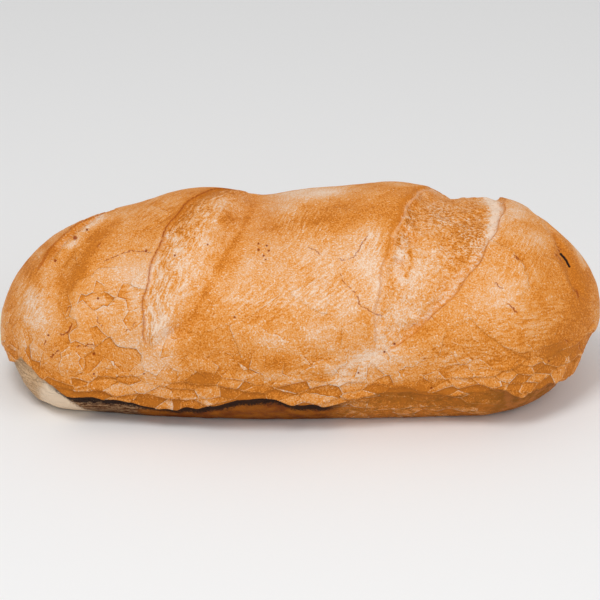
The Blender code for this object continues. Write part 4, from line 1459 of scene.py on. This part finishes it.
def base_paint(bench, skin, gap, crust_colour):
    """Colour of the band below the lip and of the flat base, with a painted shadow under the
    lip: right of the middle the crust itself curves under, darkened partly as painted shade."""
    across, depth, _ = bench.parts(skin)
    soft = bench.pattern("soft", skin)
    fine = bench.pattern("fine", skin)
    lumps = bench.pattern("lumps", skin)
    soft_off, fine_off = soft - 0.5, fine - 0.5
    layer = bench.pattern("layer", bench.vector("MULTIPLY", skin, LAYER_STRETCH))
    layer = layer + fine_off * LAYER_FINE
    place = across + soft_off * PLACE_WAVER
    by_lumps, by_layers, least = STRATA_SHARES
    share = lumps.rise(*STRATA_LUMPS) * by_lumps + layer.rise(*STRATA_LAYERS) * by_layers + least
    cast = fine_off * FLOUR_WAVERS[0] + soft_off * FLOUR_WAVERS[1] + gap
    dusted = cast.rise(*FLOUR_GAPS) * (depth + soft_off * FLOUR_DEPTH_WAVER).rise(*FLOUR_DEPTHS)
    tip = bench.blend(layer.rise(*LAYER_TONES), TIP_TAN, FLOUR_TAN)
    edge = across - gap * FLOUR_SLANT + fine_off * FLOUR_EDGE_WAVER
    start, stop = SHADOW_STATIONS
    deep = place.rise(*start) * place.rise(*stop) * SHADOW_SHARES[0] + SHADOW_SHARES[1]
    return bench.paint_over(bench.blend(soft.rise(*BASE_TONES), UNDER_DARK, UNDER_BROWN), [
        (place.rise(*LAYERED_END), bench.blend(layer.rise(*LAYER_TONES), LAYER_DARK, LAYER_ASH)),
        # The crust curving under is darkened in lumps and layers: partly its own darker colour,
        # partly painted shade
        (place.rise(*STRATA_START), bench.blend(share, crust_colour, STRATA_DARK)),
        (place.rise(*RECESS_START),
         bench.blend(lumps.rise(*RECESS_LUMPS), STRATA_DARK, RECESS_BROWN)),
        (edge.rise(*FLOURY_END),
         bench.blend(place.rise(*FLOUR_START), tip, bench.blend(dusted, TIP_TAN, FLOUR))),
        # Painted shadow under the lip
        ((gap + fine_off * SHADOW_WAVER).rise(*SHADOW_GAPS) * deep, SHADE_BLACK),
    ])


# ---- studio
FLOOR_HALF = 6.0
FLOOR_GREY = (0.84, 0.84, 0.84, 1.0)
FLOOR_ROUGHNESS = 0.9
WHITE = (1.0, 1.0, 1.0, 1.0)
SKY_STRENGTH = 0.575
# Lamps as name, place, side in metres and power in watts, and the height they aim at
LAMPS = (
    ("key", (-0.32, -0.62, 1.3), 0.5, 8.2),
    ("fill", (0.9, -0.8, 0.8), 1.0, 4.4),
)
LAMP_TARGET = (0.0, 0.0, 0.04)


def make_floor():
    """A plain pale floor."""
    mesh = bpy.data.meshes.new("floor")
    corners = [(x * FLOOR_HALF, y * FLOOR_HALF, 0.0) for x, y in ((-1, -1), (1, -1), (1, 1), (-1, 1))]
    mesh.from_pydata(corners, [], [(0, 1, 2, 3)])
    material = bpy.data.materials.new("floor")
    material.use_nodes = True
    shader = material.node_tree.nodes["Principled BSDF"]
    shader.inputs["Base Color"].default_value = FLOOR_GREY
    shader.inputs["Roughness"].default_value = FLOOR_ROUGHNESS
    mesh.materials.append(material)
    floor = add_object("floor", mesh)


def aim(thing, place, target):
    """Put a lamp or camera at a place and point it at a target."""
    thing.location = place
    thing.rotation_euler = (Vector(target) - Vector(place)).to_track_quat("-Z", "Y").to_euler()


def make_studio():
    """Soft light, camera at the picture's angle, plain colours."""
    scene = bpy.context.scene
    world = bpy.data.worlds.new("studio")
    world.use_nodes = True
    backdrop = world.node_tree.nodes["Background"]
    backdrop.inputs["Color"].default_value = WHITE
    backdrop.inputs["Strength"].default_value = SKY_STRENGTH
    scene.world = world
    for name, place, side, power in LAMPS:
        lamp = bpy.data.lights.new(name, "AREA")
        lamp.shape = "SQUARE"
        lamp.size = side
        lamp.energy = power
        aim(add_object(name, lamp), place, LAMP_TARGET)
    data = bpy.data.cameras.new("camera")
    data.lens = VIEW_LENS
    data.sensor_width = VIEW_SENSOR
    scene.camera = add_object("camera", data)
    target = Vector((0.0, 0.0, VIEW_TARGET_HEIGHT * MM))
    aim(scene.camera, target + Vector(TO_CAMERA) * (VIEW_DISTANCE * MM), target)
    scene.view_settings.view_transform = "Standard"


make_studio()
make_floor()
crust = make_crust()
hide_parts("loaf")
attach(crust, "root")
